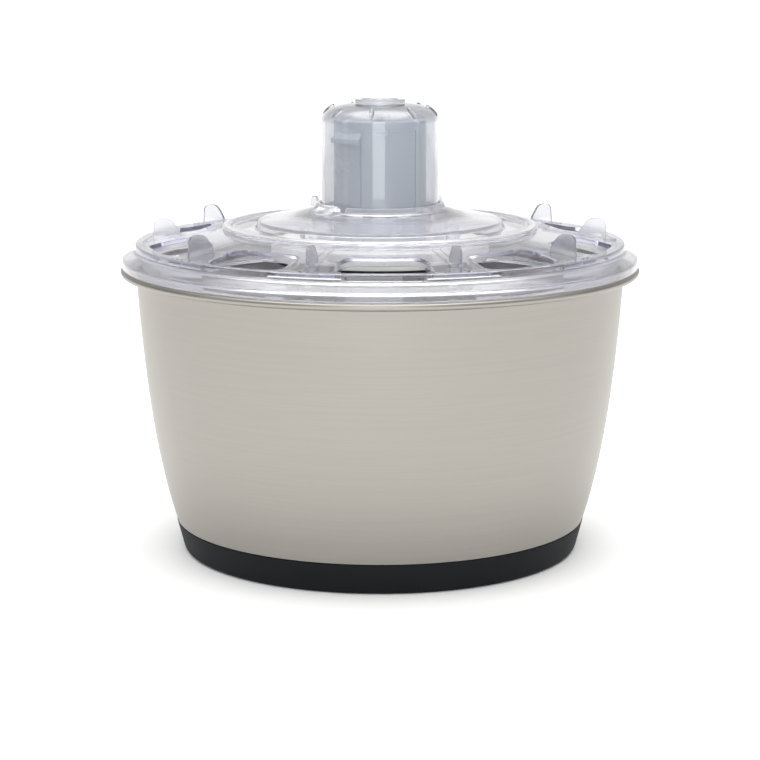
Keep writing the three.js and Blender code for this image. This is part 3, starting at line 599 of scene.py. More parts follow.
def makePivot():
    low, high, outer = place("pivot_boss")
    pinHigh, pinOuter = place("pivot_pin")[1:]
    boss = turned("pivot_collar", filleted([
        (pinOuter + gap, low), (outer, low, 0.2), (outer, low + 0.9, 0.5), (outer - 2, high, 0.5),
        (pinOuter + gap, high, 0.3),
    ]), whiteAcetal, 64)
    pin = turned("pivot_stud", filleted([
        (0, low), (pinOuter, low), (pinOuter, pinHigh - 1.8, 0.8), (pinOuter * 0.7, pinHigh - 0.5, 1.0),
        (0, pinHigh),
    ], closed=False), screwSteel, 48, False)
    return boss, pin


pivotCollar, pivotStud = makePivot()
declare(pivotCollar, "bowl_base", "white_plastic", "pivot_boss")
declare(pivotStud, "bowl_base", "bright_steel", "pivot_pin")
print("bowl, foot and pivot made")


basketShape = {
    "sheet": 0.8,
    "columns": 108,       # holes round the wall
    "rows": 34,           # half rows of the staggered pattern up the wall
    "plainFoot": 6.0,     # plain band above the floor's corner
    "plainTop": 9.0,      # plain band under the rim
    "holeShare": 0.56,
    "floorColumns": 72,
    "floorRows": 11,
    "middleInner": 13.0,
    "floorInner": 38.0,
    "floorOuter": 82.0,
    "corner": 10.0,
    "bead": 1.5,
}


def perforateTree():
    # every face marked "perforated" is opened by a round hole
    tree, given = geometryTree("perforatedSheet", {"Hole share": "Float", "Rounding": "Int"})
    marked = addNode(tree, "GeometryNodeInputNamedAttribute", {"data_type": "BOOLEAN", "Name": "perforated"})
    copied = addNode(tree, "GeometryNodeExtrudeMesh", {"mode": "FACES", "Offset Scale": 0.0, "Individual": True}, {
        "Mesh": given["Geometry"], "Selection": marked.outputs["Attribute"],
    })
    shrunk = addNode(tree, "GeometryNodeScaleElements", {"domain": "FACE"}, {
        "Geometry": copied.outputs["Mesh"], "Selection": copied.outputs["Top"], "Scale": given["Hole share"],
    })
    opened = addNode(tree, "GeometryNodeDeleteGeometry", {"domain": "FACE"}, {
        "Geometry": shrunk.outputs[0], "Selection": copied.outputs["Top"],
    })
    rounded = addNode(tree, "GeometryNodeSubdivisionSurface", links={
        "Mesh": opened.outputs[0], "Level": given["Rounding"],
    })
    return paintedOutput(tree, rounded.outputs[0], given["Material"])


def perforated(name, outline, columns, holeShare, sheet, material):
    # staggered holes: neighbouring rings of corners are half a column apart, and each hole sits in a diamond
    bm = bmesh.new()
    mark = bm.faces.layers.bool.new("perforated")
    rings = []
    for k, point in enumerate(outline):
        shift = 0.5 * (k % 2)
        rings.append([
            bm.verts.new(polar(point[0], 360 * (j + shift) / columns, point[1]) * mm) for j in range(columns)
        ])
    for k in range(len(rings) - 2):
        for j in range(columns):
            n = (j + 1) % columns
            middle = n if k % 2 == 0 else j
            corners = [rings[k][middle], rings[k + 1][n], rings[k + 2][middle], rings[k + 1][j]]
            bm.faces.new(corners)[mark] = True
    for edge, inner in ((0, 1), (-1, -2)):
        for j in range(columns):
            n = (j + 1) % columns
            odd = (edge % len(rings)) % 2
            tip = rings[inner][n if odd else j]
            bm.faces.new([rings[edge][j], rings[edge][n], tip])
    piece = pieceFrom(name, bm, material, 60)
    addTree(piece, perforatedSheet, {"Hole share": holeShare, "Rounding": 1, "Material": material})
    wall = piece.modifiers.new("wall", "SOLIDIFY")
    wall.thickness = sheet * mm
    wall.offset = 0
    plainMesh(piece)
    shadeByAngle(piece.data, 50)
    return piece


perforatedSheet = perforateTree()


def makeBasket():
    shape = basketShape
    low, high, rim = place("basket")
    bead, sheet = shape["bead"], shape["sheet"]
    mouth = rim - 2 * bead
    foot = (bowlShape["footRadius"] - bowlShape["footSet"] - 1 - 7.5 + 5, low + shape["corner"])
    wall = cubicWall(foot, (mouth, high - 2 * bead), 200)
    bottom = [p for p in wall if p.y <= foot[1] + shape["plainFoot"]]
    top = [p for p in wall if p.y >= high - 2 * bead - shape["plainTop"]]
    middle = [p for p in wall if bottom[-1].y <= p.y <= top[0].y]
    rows = shape["rows"]
    picked = [middle[round(k * (len(middle) - 1) / rows)] for k in range(rows + 1)]
    half = sheet / 2
    wallLine = [(p.x - half, p.y) for p in picked]
    holes = perforated("basket_wall", wallLine, shape["columns"], shape["holeShare"], sheet, basketSteel)
    step = (shape["floorOuter"] - shape["floorInner"]) / shape["floorRows"]
    floorLine = [(shape["floorInner"] + step * k, low + half) for k in range(shape["floorRows"] + 1)]
    floorHoles = perforated("basket_floor", floorLine, shape["floorColumns"], shape["holeShare"], sheet,
                            basketSteel)

    # plain stretches of sheet: the rim with its rolled bead, the floor's corner, and the middle of the floor
    topLine = top[::20] + [top[-1]]
    rolled = arcPoints((mouth + bead, high - bead), bead, -90, 170, 14)
    rimInside = [(p[0] - sheet, p[1]) for p in topLine[::-1]]
    rimBand = turned("basket_rim", topLine + rolled + rimInside, basketSteel, 144)
    cornerCentre = (foot[0] - shape["corner"], foot[1])
    cornerInner = shape["floorOuter"] - 0.4
    cornerBand = turned("basket_corner", [
        (cornerInner, low), *arcPoints(cornerCentre, shape["corner"], -90, 0, 8), *bottom[1:],
        *[(p[0] - sheet, p[1]) for p in bottom[:0:-1]],
        *arcPoints(cornerCentre, shape["corner"] - sheet, 0, -90, 8), (cornerInner, low + sheet),
    ], basketSteel, 144)
    middleInner, middleOuter = shape["middleInner"], shape["floorInner"] + 0.4
    hubBand = turned("basket_middle", [
        (middleInner, low), (middleOuter, low), (middleOuter, low + sheet), (middleInner, low + sheet),
    ], basketSteel, 96)
    pieces = [holes, floorHoles, rimBand, cornerBand, hubBand]
    joined = bmesh.new()
    for piece in pieces:
        joined.from_mesh(piece.data)
    mesh = bpy.data.meshes.new("basket_shell")
    joined.to_mesh(mesh)
    joined.free()
    for piece in pieces:
        bpy.data.objects.remove(piece)
    mesh.materials.append(basketSteel)
    shadeByAngle(mesh, 50)
    return objectFrom("basket_shell", mesh)


basket = makeBasket()
declare(basket, "basket_drum", "bright_steel", "basket")


def makeHub():
    low, high, outer = place("basket_hub")
    capLow, capHigh, capOuter = place("hub_cap")
    tubeOuter = 12.7
    bore = 7.0
    floorLow = place("basket")[0]
    hub = turned("basket_hub_ring", filleted([
        (bore, low, 0.4), (outer, low, 0.6), (outer, floorLow - 0.3, 0.3), (tubeOuter, floorLow - 0.3),
        (tubeOuter, high, 0.4), (bore, high, 0.3),
    ]), blackPlastic, 96)
    cap = turned("basket_hub_cap", filleted([
        (0, high + 0.3), (tubeOuter + 0.3, high + 0.3), (tubeOuter + 0.3, capLow), (capOuter, capLow, 0.3),
        (capOuter, capHigh - 2.4, 0.8), (capOuter - 3, capHigh - 0.6, 2.5), (6.0, capHigh - 0.3, 0.5),
        (5.2, capHigh - 0.9, 0.4), (0, capHigh - 0.9),
    ], closed=False), blackPlastic, 96, False)
    bushLow, bushHigh, bushOuter = place("basket_bush")
    pinTop = place("pivot_pin")[1]
    bush = turned("basket_bearing_cup", filleted([
        (0, pinTop + 0.3), (3.3, pinTop + 0.3, 0.6), (3.3, bushLow, 0.3), (bushOuter, bushLow, 0.4),
        (bushOuter, low - 0.4, 0.4), (6.6, low - 0.4), (6.6, bushHigh, 0.8), (0, bushHigh),
    ], closed=False), whiteAcetal, 64, False)
    return hub, cap, bush


hubRing, hubCap, bearingCup = makeHub()
declare(hubRing, "basket_drum", "black_plastic", "basket_hub")
declare(hubCap, "basket_drum", "black_plastic", "hub_cap")
declare(bearingCup, "basket_bearing", "white_plastic", "basket_bush")
print("basket made")


lidShape = {
    "segments": 240,
    "wall": 2.2,
    "lowerTier": 4.8,
    "upperTier": 12.1,
    "upperRadius": 122.6,
    "skirtOuter": 119.1,
    "skirtWall": 1.8,
    "windows": 10,
    "windowTurn": -89,
    "windowInner": 91.5,
    "windowOuter": 116.2,
    "windowHalfAngle": 11.5,
    "windowCorner": 7.5,
    "windowLip": 1.5,      # thickness of the small wall that hangs round each window
    "windowLipDepth": 2.2,
    "finInner": 99.5,
    "finOuter": 114.0,
    "finHeight": 11.0,
    "finThickness": 1.7,
    "ribWidth": 4.0,
    "ribInner": 82.0,
    "ribOuter": 119.0,
    "ribHeight": 0.9,
    "slope": ((73.0, 6.3), (79.0, 5.5), (100.0, 2.3), (114.0, -0.5)),  # radius, and height over the upper tier
    "innerEdge": 73.0,
}


def lidFoot():
    # the lid's wall stands just above the bowl's flange
    return place("bowl")[1] + gap


def lidTopAt(radius):
    # height of the lid's sloping top at a radius
    edge = lidFoot() + lidShape["upperTier"]
    line = [(r, edge + rise) for r, rise in lidShape["slope"]] + [(124.0, edge - 0.5)]
    for (r0, z0), (r1, z1) in zip(line, line[1:]):
        if r0 <= radius <= r1:
            return z0 + (z1 - z0) * (radius - r0) / (r1 - r0)
    return line[-1][1] if radius > line[-1][0] else line[0][1]


def windowOutline(grow=0.0, cornerSteps=7):
    shape = lidShape
    inner, outer = shape["windowInner"] - grow, shape["windowOuter"] + grow
    corner = shape["windowCorner"] + grow
    half = shape["windowHalfAngle"] + math.degrees(grow / ((inner + outer) / 2))
    outerLean = half - math.degrees(math.asin(corner / (outer - corner)))
    innerLean = half - math.degrees(math.asin(corner / (inner + corner)))
    upper = []
    for radius, lean, start, end in (
        (outer - corner, outerLean, outerLean, half + 90),
        (inner + corner, innerLean, half + 90, innerLean + 180),
    ):
        centre = polar(radius, lean)
        turns = [start + (end - start) * k / cornerSteps for k in range(cornerSteps + 1)]
        upper += [centre + polar(corner, turn) for turn in turns]
    bend = [polar(outer, outerLean * (2 * k / 8 - 1)) for k in range(1, 8)]
    back = [polar(inner, -innerLean * (2 * k / 8 - 1)) for k in range(1, 8)]
    lower = [Vector((p.x, -p.y, 0)) for p in upper][::-1]
    return [(p.x, p.y) for p in bend + upper + back + lower]


def makeLidRing():
    shape = lidShape
    low, _, outer = place("lid_ring")
    lidBottom = lidFoot()
    ledge = lidBottom + shape["lowerTier"]
    edge = lidBottom + shape["upperTier"]
    wall, upper = shape["wall"], shape["upperRadius"]
    skirt, skirtLow = shape["skirtOuter"], low
    top = [(r, edge + rise) for r, rise in shape["slope"][::-1]]
    outline = filleted([
        (outer, lidBottom, 0.5),
        (outer, ledge - 0.4, 1.4),
        (upper + 1.1, ledge + 3.1, 0.8),
        (upper, ledge + 4.2, 0.8),
        (upper, edge, 1.2),
        (top[0][0] + 3, edge - 0.5, 4),
        (*top[0], 8), (*top[1], 10), (*top[2], 2), (*top[3], 0.5),
        (top[3][0], top[3][1] - wall, 0.5),
        (top[2][0], top[2][1] - wall, 2), (top[1][0], top[1][1] - wall, 8), (top[0][0], top[0][1] - wall, 5),
        (skirt - shape["skirtWall"], edge - 0.5 - wall, 1.2),
        (skirt - shape["skirtWall"], skirtLow, 0.6),
        (skirt, skirtLow, 0.6),
        (skirt, ledge + 2.4, 0.8),
        (upper - 0.4, ledge + 1.2, 0.8),
        (outer - wall, ledge - 2, 0.8),
        (outer - wall, lidBottom, 0.5),
    ])
    lid = turned("ring_lid", outline, lidPlastic, shape["segments"])

    lipped = bmesh.new()
    raisedInto(lipped, windowOutline(shape["windowLip"]),
               lambda p: lidTopAt(Vector(p).length) - wall - shape["windowLipDepth"],
               lambda p: lidTopAt(Vector(p).length) - 0.6)
    lips = roundAxis("window_lips", lipped, shape["windows"], shape["windowTurn"], lidPlastic)
    combine(lid, lips, "UNION")

    opening = bmesh.new()
    raisedInto(opening, windowOutline(), edge - 12, edge + 12)
    openings = roundAxis("window_openings", opening, shape["windows"], shape["windowTurn"], lidPlastic)
    combine(lid, openings, "DIFFERENCE")

    between = shape["windowTurn"] + 180 / shape["windows"]
    ribs = bmesh.new()
    spots = [shape["ribInner"] + (shape["ribOuter"] - shape["ribInner"]) * k / 8 for k in range(9)]
    line = [(r, lidTopAt(r) + shape["ribHeight"]) for r in spots]
    line += [(r, lidTopAt(r) - 0.8) for r in spots[::-1]]
    for side in (-1, 1):
        slabInto(ribs, line, 0.9, aside=side * shape["ribWidth"] / 2)
    ribRing = roundAxis("radial_ribs", ribs, shape["windows"], between, lidPlastic)
    combine(lid, ribRing, "UNION")

    fin = bmesh.new()
    inner, outer = shape["finInner"], shape["finOuter"]
    peak = lidTopAt(outer) + shape["finHeight"]
    slabInto(fin, filleted([
        (inner, lidTopAt(inner) - 1.0), (outer, lidTopAt(outer) - 1.0), (outer - 0.6, peak, 4.2),
        (outer - 9.0, peak + 0.4, 6.0), (inner + 0.8, lidTopAt(inner) + 2.0, 3.0),
    ], steps=10), shape["finThickness"], edge=0.35)
    fins = roundAxis("fins", fin, shape["windows"], between, lidPlastic)
    combine(lid, fins, "UNION")
    return lid


ringLid = makeLidRing()
declare(ringLid, "lid", "clear_plastic", "lid_ring")


def makeGasket():
    low, high, outer = place("lid_gasket")
    inner = lidShape["skirtOuter"] + 0.3
    return turned("lid_seal", filleted([
        (inner, low, 0.2), (outer - 0.5, low, 0.3), (outer, low + 0.9, 0.5), (outer - 0.5, low + 1.5, 0.3),
        (outer, low + 2.2, 0.5), (inner, high, 0.2),
    ]), sealSilicone, 192)


lidSeal = makeGasket()
declare(lidSeal, "lid", "black_silicone", "lid_gasket")
print("ring lid and seal made")


screwCircle = 48.7  # radius on which the housing's screws stand

dishShape = {
    "segments": 192,
    "collarInner": 74.0,
    "channelInner": 62.5,
    "wall": 2.0,
    "hole": 30.1,
    "lipWall": 1.9,
    "lipHeight": 2.9,
    "stopFlange": 2.2,
    "channelRise": 3.8,
    "coneRise": 6.0,
    "slotAngles": (-119, 61),
    "slotHalfAngle": 5.5,
    "notchAngle": -136,
    "notchHalfAngle": 14.6,
}


def makeDish():
    shape = dishShape
    low, _, outer = place("dish_cover")
    lidBottom = lidFoot()
    collarZ = lidBottom + lidShape["upperTier"] + 5.5
    collarTop = collarZ + 2.9
    channel = collarTop - 1.9
    coneFoot = channel + shape["channelRise"]
    coneTop = coneFoot + shape["coneRise"]
    hole, wall = shape["hole"], shape["wall"]
    tube = hole + shape["stopFlange"] + 0.1
    underHub = coneTop - wall - 0.4
    skirtOuter = lidShape["innerEdge"] - 0.4
    skirtInner = skirtOuter - 1.8
    skirtLow = collarZ + 0.8 - lidShape["wall"] - 1.9
    inner = shape["channelInner"]
    outline = filleted([
        (outer, collarZ + 0.3, 0.4),
        (outer, collarTop, 1.0),
        (shape["collarInner"] + 0.8, collarTop, 0.7),
        (shape["collarInner"], channel, 1.2),
        (inner, channel, 1.2),
        (inner - 1.6, coneFoot, 1.2),
        (hole + 12, coneTop - 2.3, 20),
        (hole + shape["lipWall"] + 1.2, coneTop, 2.5),
        (hole + shape["lipWall"], coneTop + shape["lipHeight"], 0.8),
        (hole, coneTop + shape["lipHeight"], 0.8),
        (hole, underHub, 0.4),
        (tube, underHub),
        (tube, low, 0.4),
        (tube + wall, low, 0.6),
        (tube + wall, coneTop - wall - 0.8, 1.2),
        (inner - 3.2, coneFoot - wall, 1.0),
        (inner - 1.8, channel - wall + 0.2, 1.0),
        (skirtInner, channel - wall + 0.2, 0.8),
        (skirtInner, skirtLow, 0.5),
        (skirtOuter, skirtLow, 0.5),
        (skirtOuter, collarZ + 1.1, 0.4),
    ])
    dish = turned("dish", outline, clearPlastic, shape["segments"])
    slots = bmesh.new()
    half = shape["slotHalfAngle"]
    for angle in shape["slotAngles"]:
        slot = sectorOutline(inner + 1.5, inner + 4, angle - half, angle + half)
        raisedInto(slots, slot, channel - 4, channel + 3)
    notch, half = shape["notchAngle"], shape["notchHalfAngle"]
    catch = sectorOutline(hole - 1, tube + 1.6, notch - half, notch + half)
    raisedInto(slots, catch, coneTop + 0.3, coneTop + 6)
    combine(dish, pieceFrom("slots", slots, None), "DIFFERENCE")

    boss = bmesh.new()
    bossFoot = place("housing_collar")[1] + gap
    turnInto(boss, filleted([
        (1.8, bossFoot, 0.2), (4.0, bossFoot, 0.4), (4.4, coneFoot - 1.2), (0, coneFoot - 1.2),
        (0, bossFoot + 8), (1.8, bossFoot + 8),
    ]), 40)
    boss.transform(Matrix.Translation((screwCircle * mm, 0, 0)))
    bosses = roundAxis("bosses", boss, 4, 45, clearPlastic)
    combine(dish, bosses, "UNION")
    return dish


dish = makeDish()
declare(dish, "lid", "clear_plastic", "dish_cover")

sliderShape = {"width": 14.0, "length": 7.5, "inner": 33.4, "angle": -136}


def makeSlider():
    low, high = place("lock_slider")[:2]
    inner, outer = sliderShape["inner"], sliderShape["inner"] + sliderShape["length"]
    bm = bmesh.new()
    slabInto(bm, filleted([
        (inner, low + 1.7, 0.3), (outer, low + 0.2, 0.3), (outer, low + 1.4, 0.5), (inner + 4, high - 1.1, 1.6),
        (inner + 2, high, 1.0), (inner, high - 1.4, 0.6),
    ], steps=5), sliderShape["width"], sliderShape["angle"], edge=0.5)
    return pieceFrom("lock_slider_wedge", bm, clearPlastic)


slider = makeSlider()
declare(slider, "lock", "clear_plastic", "lock_slider")
print("dish and lock slider made")


housingShape = {"floorRadius": 36.0, "topRadius": 44.5, "wall": 2.5, "bore": 13.6, "ribs": 12}


def makeHousing():
    shape = housingShape
    low, high, outer = place("mechanism_housing")
    wall = shape["wall"]
    shell = turned("mechanism_cup", filleted([
        (shape["bore"], low, 0.4), (shape["floorRadius"], low, 2.5), (shape["topRadius"], high - 3, 1.0),
        (outer, high - 3, 0.6), (outer, high, 0.6), (shape["topRadius"] - wall, high, 0.6),
        (shape["floorRadius"] - wall, low + wall, 2.0), (shape["bore"], low + wall, 0.4),
    ]), blackPlastic, 144)
    rib = bmesh.new()
    slabInto(rib, [
        (shape["floorRadius"] + 1.5, low + 9), (shape["topRadius"] + 4.5, high - 2.4),
        (shape["topRadius"] - 2, high - 2.4), (shape["floorRadius"] + 0.4, low + 8),
    ], 1.8)
    ribs = roundAxis("cup_ribs", rib, shape["ribs"], 0, blackPlastic)
    return combine(shell, ribs, "UNION")


housing = makeHousing()
declare(housing, "lid", "black_plastic", "mechanism_housing")

collarShape = {"inner": 36.0, "skirtWall": 1.4, "holeRadius": 1.8}


def makeHousingCollar():
    skirtLow, high, outer = place("housing_collar")
    low = place("mechanism_housing")[1] + gap
    inner, hole = collarShape["inner"], collarShape["holeRadius"]
    skirtInside = outer - collarShape["skirtWall"]
    collar = turned("collar_ring", filleted([
        (inner, low, 0.4), (skirtInside, low), (skirtInside, skirtLow + 0.9, 0.3),
        (outer, skirtLow + 0.9, 0.5), (outer, high, 1.4), (outer - 3.2, high, 0.5),
        (outer - 3.8, high - 0.5, 0.4), (inner + 3, high - 0.5, 0.4), (inner + 2.4, high, 0.5),
        (inner, high, 0.5),
    ]), whiteAcetal, 144)
    drill = bmesh.new()
    turnInto(drill, [(0, low - 1), (hole, low - 1), (hole, high + 1), (0, high + 1)], 24, False)
    drill.transform(Matrix.Translation((screwCircle * mm, 0, 0)))
    return combine(collar, roundAxis("collar_holes", drill, 4, 45, whiteAcetal), "DIFFERENCE")


housingCollar = makeHousingCollar()
declare(housingCollar, "lid", "white_plastic", "housing_collar")

screwShape = {"head": 3.2, "shank": 1.5, "crossLength": 3.6, "crossWidth": 0.8}


def makeHousingScrews():
    shape = screwShape
    low, high = place("housing_screw_1")[:2]
    bm = bmesh.new()
    turnInto(bm, filleted([
        (0, low), (2.2, low, 0.4), (shape["head"], low + 0.9, 0.5), (shape["head"], low + 2.2, 0.2),
        (shape["shank"], low + 2.2), (shape["shank"], high - 1.2, 0.2), (0, high),
    ], closed=False), 40, False)
    screw = pieceFrom("screw", bm, None)
    cross = bmesh.new()
    arms = (shape["crossLength"], shape["crossWidth"])
    for long, wide in (arms, arms[::-1]):
        bmesh.ops.create_cube(cross, size=mm, matrix=Matrix.Translation((0, 0, low * mm))
                              @ Matrix.Diagonal((long, wide, 2.2, 1)))
    combine(screw, pieceFrom("cross", cross, None), "DIFFERENCE")
    screw.data.transform(Matrix.Translation((screwCircle * mm, 0, 0)))
    return roundAxis("housing_screws", screw, 4, 45, screwSteel)


housingScrews = makeHousingScrews()
declare(housingScrews, "lid", "bright_steel", *["housing_screw_%d" % k for k in range(1, 5)])


def makeThrustWasher():
    low, high, outer = place("thrust_washer")
    return turned("thrust_ring", filleted([
        (13.4, low, 0.1), (outer, low, 0.2), (outer, high, 0.2), (13.4, high, 0.1),
    ]), whiteAcetal, 96)


thrustRing = makeThrustWasher()
declare(thrustRing, "lid", "white_plastic", "thrust_washer")
print("housing made")


knobShape = {
    "segments": 160,
    "radius": 29.5,
    "draft": 0.2,
    "wall": 2.0,
    "shoulderWidth": 12.5,
    "shoulderHeight": 8.2,
    "capRadius": 12.7,
    "grips": 8,
    "gripTurn": -99,
    "gripLength": 8.0,
    "gripWidth": 2.6,
}


def shoulderPoint(degrees, lower=0.0):
    # a point on the knob's rounded shoulder, and optionally below its skin
    shape = knobShape
    top = place("pump_dome")[1]
    centre = (shape["radius"] - shape["draft"] - shape["shoulderWidth"], top - shape["shoulderHeight"] - 0.5)
    angle = math.radians(degrees)
    return (
        centre[0] + (shape["shoulderWidth"] - lower) * math.cos(angle),
        centre[1] + (shape["shoulderHeight"] - lower) * math.sin(angle),
    )


def makeKnob():
    shape = knobShape
    low, high, outer = place("pump_dome")
    radius, wall = shape["radius"], shape["wall"]
    shoulder = [shoulderPoint(90 * k / 14) for k in range(15)]
    inside = [shoulderPoint(90 - 90 * k / 14, wall) for k in range(15)]
    outline = filleted([
        (outer, low, 0.5), (outer, low + 2.8, 0.5), (radius, low + 2.8),
        *shoulder,
        (shape["capRadius"] + 0.6, high, 0.4), (shape["capRadius"] - 2.7, high, 0.2),
        (shape["capRadius"] - 2.7, high - 1.3, 0.2), (2.3, high - 1.3), (2.3, high - wall - 1),
        *inside,
        (radius - wall, low, 0.5),
    ])
    knob = turned("pump_knob", outline, knobPlastic, shape["segments"])
    grip = bmesh.new()
    bmesh.ops.create_uvsphere(grip, u_segments=20, v_segments=12, radius=mm)
    at = shoulderPoint(42, 0.1)
    grip.transform(
        Matrix.Translation(Vector((at[0], 0, at[1])) * mm) @ Matrix.Rotation(math.radians(42), 4, "Y")
        @ Matrix.Diagonal((shape["gripLength"] / 2, shape["gripWidth"] / 2, 1.1, 1))
    )
    grips = roundAxis("finger_grips", grip, shape["grips"], shape["gripTurn"], knobPlastic)
    return combine(knob, grips, "UNION", 40)


knob = makeKnob()
declare(knob, "pump", "clear_plastic", "pump_dome")


def makeKnobCap():
    low, high, outer = place("dome_cap")
    return turned("knob_disc", filleted([
        (0, low), (outer, low, 0.2), (outer, high, 0.7), (outer - 3.1, high, 0.5),
        (outer - 3.6, high - 0.6, 0.5),
        (5.2, high - 0.6, 0.3), (4.7, high - 0.2, 0.3), (4.0, high - 0.2, 0.3), (3.5, high - 0.6, 0.3),
        (0, high - 0.6),
    ], closed=False), knobPlastic, 128, False)


knobDisc = makeKnobCap()
declare(knobDisc, "pump", "clear_plastic", "dome_cap")

sleeveShape = {
    "radius": 23.0,
    "wall": 2.0,
    "faceAngles": (-112, -46),
    "faceStep": 1.2,
    "faceBelowTop": 4.5,
    "grooves": (1.8, 5.0),
    "grooveDepth": 1.1,
    "lugAngles": (-152, -112),
    "lugReach": 26.6,
    "lugLow": 206.2,
    "lugHeight": 6.3,
    "post": 4.5,
}


def makeSleeve():
    shape = sleeveShape
    low, high = place("pump_sleeve")[:2]
    radius, wall, post = shape["radius"], shape["wall"], shape["post"]
    ceiling = high - 2.2
    sleeve = turned("pump_barrel", filleted([
        (0, high - 15), (2.2, high - 15), (2.2, high, 0.3), (radius, high, 1.4), (radius, low, 0.5),
        (radius - wall, low, 0.5), (radius - wall, ceiling, 0.8), (post, ceiling, 0.8),
        (post, ceiling - 35, 0.5),
        (0, ceiling - 35),
    ], closed=False), sleevePlastic, 160, False)
    extra = bmesh.new()
    start, end = shape["faceAngles"]
    raisedInto(extra, sectorOutline(radius - 1.2, radius + shape["faceStep"], start, end, 0.3, 30),
               low + 2, high - shape["faceBelowTop"])
    combine(sleeve, pieceFrom("face", extra, None), "UNION")
    grooves = bmesh.new()
    for first, last in ((start - shape["grooves"][0], start), (end, end + shape["grooves"][1])):
        raisedInto(grooves, sectorOutline(radius - shape["grooveDepth"], radius + 2, first, last, 0.1, 4),
                   low - 1, high - shape["faceBelowTop"])
    combine(sleeve, pieceFrom("grooves", grooves, None), "DIFFERENCE")
    lug = bmesh.new()
    start, end = shape["lugAngles"]
    foot = shape["lugLow"]

    def ramp(p):
        # the lug's top slopes down towards its outer edge
        return foot + shape["lugHeight"] - max(0.0, Vector(p).length - radius) * 1.1

    raisedInto(lug, sectorOutline(radius - 1.2, shape["lugReach"], start, end, 0.3, 12), foot, ramp)
    combine(sleeve, pieceFrom("lug", lug, None), "UNION")
    return sleeve


sleeve = makeSleeve()
declare(sleeve, "pump", "blue_plastic", "pump_sleeve")
print("knob and sleeve made")


plateShape = {"arms": 5, "armWidth": 14.0, "thickness": 3.0, "hub": 36.0}


def makeDrivePlate():
    shape = plateShape
    low, high, outer = place("drive_plate")
    housingLow = place("mechanism_housing")[0]
    plateTop = housingLow - 0.3
    plateLow = plateTop - shape["thickness"]
    skirtOuter = place("drive_band")[2] - 1.1
    rimZ = high - 2
    hubTop = place("clutch_crown")[0] - 0.3
    hub = turned("spin_plate", filleted([
        (0, low), (7, low, 0.6), (9, plateLow, 1.5),
        (shape["hub"], plateLow, 0.6), (shape["hub"], plateTop, 0.6),
        (13.0, plateTop, 0.6), (13.0, hubTop, 0.4), (2.7, hubTop), (2.7, plateLow + 0.8), (0, plateLow + 0.8),
    ], closed=False), clearPlastic, 128, False)
    rim = turned("rim", filleted([
        (skirtOuter - 3, rimZ - 6, 0.8), (skirtOuter, rimZ - 6, 0.8), (skirtOuter, rimZ, 0.3),
        (outer, rimZ, 0.5), (outer, high, 0.8), (skirtOuter - 3, high, 0.8),
    ]), clearPlastic, 192)
    combine(hub, rim, "UNION")
    arm = bmesh.new()
    reach, root = skirtOuter - 1, shape["hub"]
    slabInto(arm, filleted([
        (root - 8, plateLow), (root + 3, plateLow, 4), (reach, rimZ - 0.5 - shape["thickness"]),
        (reach, rimZ - 0.5), (root + 3, plateTop, 4), (root - 8, plateTop),
    ], steps=6), shape["armWidth"])
    for side in (-1, 1):
        edge = bmesh.new()
        slabInto(edge, [
            (root + 2, plateLow), (reach - 2, rimZ - 4), (reach - 2, rimZ + 1.4), (root + 2, plateTop + 1.6),
        ], 1.8, aside=side * (shape["armWidth"] / 2 - 1.4))
        combine(hub, roundAxis("arm_edges", edge, shape["arms"], 90, clearPlastic), "UNION")
    return combine(hub, roundAxis("arms", arm, shape["arms"], 90, clearPlastic), "UNION")


drivePlate = makeDrivePlate()
declare(drivePlate, "drive", "clear_plastic", "drive_plate")


def makeDriveBand():
    low, high, outer = place("drive_band")
    inner, valley = outer - 0.8, outer - 0.25
    ridges = 4
    step = (high - low) / ridges
    line = [(inner, low), (valley, low)]
    for k in range(ridges):
        line += [(r, low + step * (k + share)) for r, share in ((valley, 0.2), (outer, 0.5), (valley, 0.8))]
    line += [(valley, high), (inner, high)]
    return turned("grip_band", line, sealSilicone, 192, sharp=60)


driveBand = makeDriveBand()
declare(driveBand, "drive", "black_silicone", "drive_band")


springShape = {"wire": 1.2, "turns": 10, "radius": 6.2, "stepsPerTurn": 32, "stroke": 36.0}


def springTree():
    tree, given = geometryTree("coiledWire", {
        "Turns": "Float", "Radius": "Float", "Height": "Float", "Foot": "Float", "Wire": "Float", "Steps": "Int",
    })
    coil = addNode(tree, "GeometryNodeCurveSpiral", links={
        "Resolution": given["Steps"], "Rotations": given["Turns"], "Start Radius": given["Radius"],
        "End Radius": given["Radius"], "Height": given["Height"],
    })
    section = addNode(tree, "GeometryNodeCurvePrimitiveCircle", {"Resolution": 10}, {"Radius": given["Wire"]})
    wire = addNode(tree, "GeometryNodeCurveToMesh", {"Fill Caps": True}, {
        "Curve": coil.outputs[0], "Profile Curve": section.outputs[0],
    })
    up = addNode(tree, "ShaderNodeCombineXYZ", links={"Z": given["Foot"]})
    moved = addNode(tree, "GeometryNodeTransform", links={
        "Geometry": wire.outputs[0], "Translation": up.outputs[0],
    })
    return paintedOutput(tree, moved.outputs[0], given["Material"])


coiledWire = springTree()


def makeSpring():
    shape = springShape
    low, high = place("return_spring")[:2]
    wire = shape["wire"] / 2
    return grown("spring_coil", coiledWire, {
        "Turns": float(shape["turns"]), "Radius": shape["radius"] * mm, "Height": (high - low - 2 * wire) * mm,
        "Foot": (low + wire) * mm, "Wire": wire * mm, "Steps": shape["turns"] * shape["stepsPerTurn"],
        "Material": springSteel,
    }, 60)


spring = makeSpring()
declare(spring, "pump", "bright_steel", "return_spring")
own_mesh(spring)

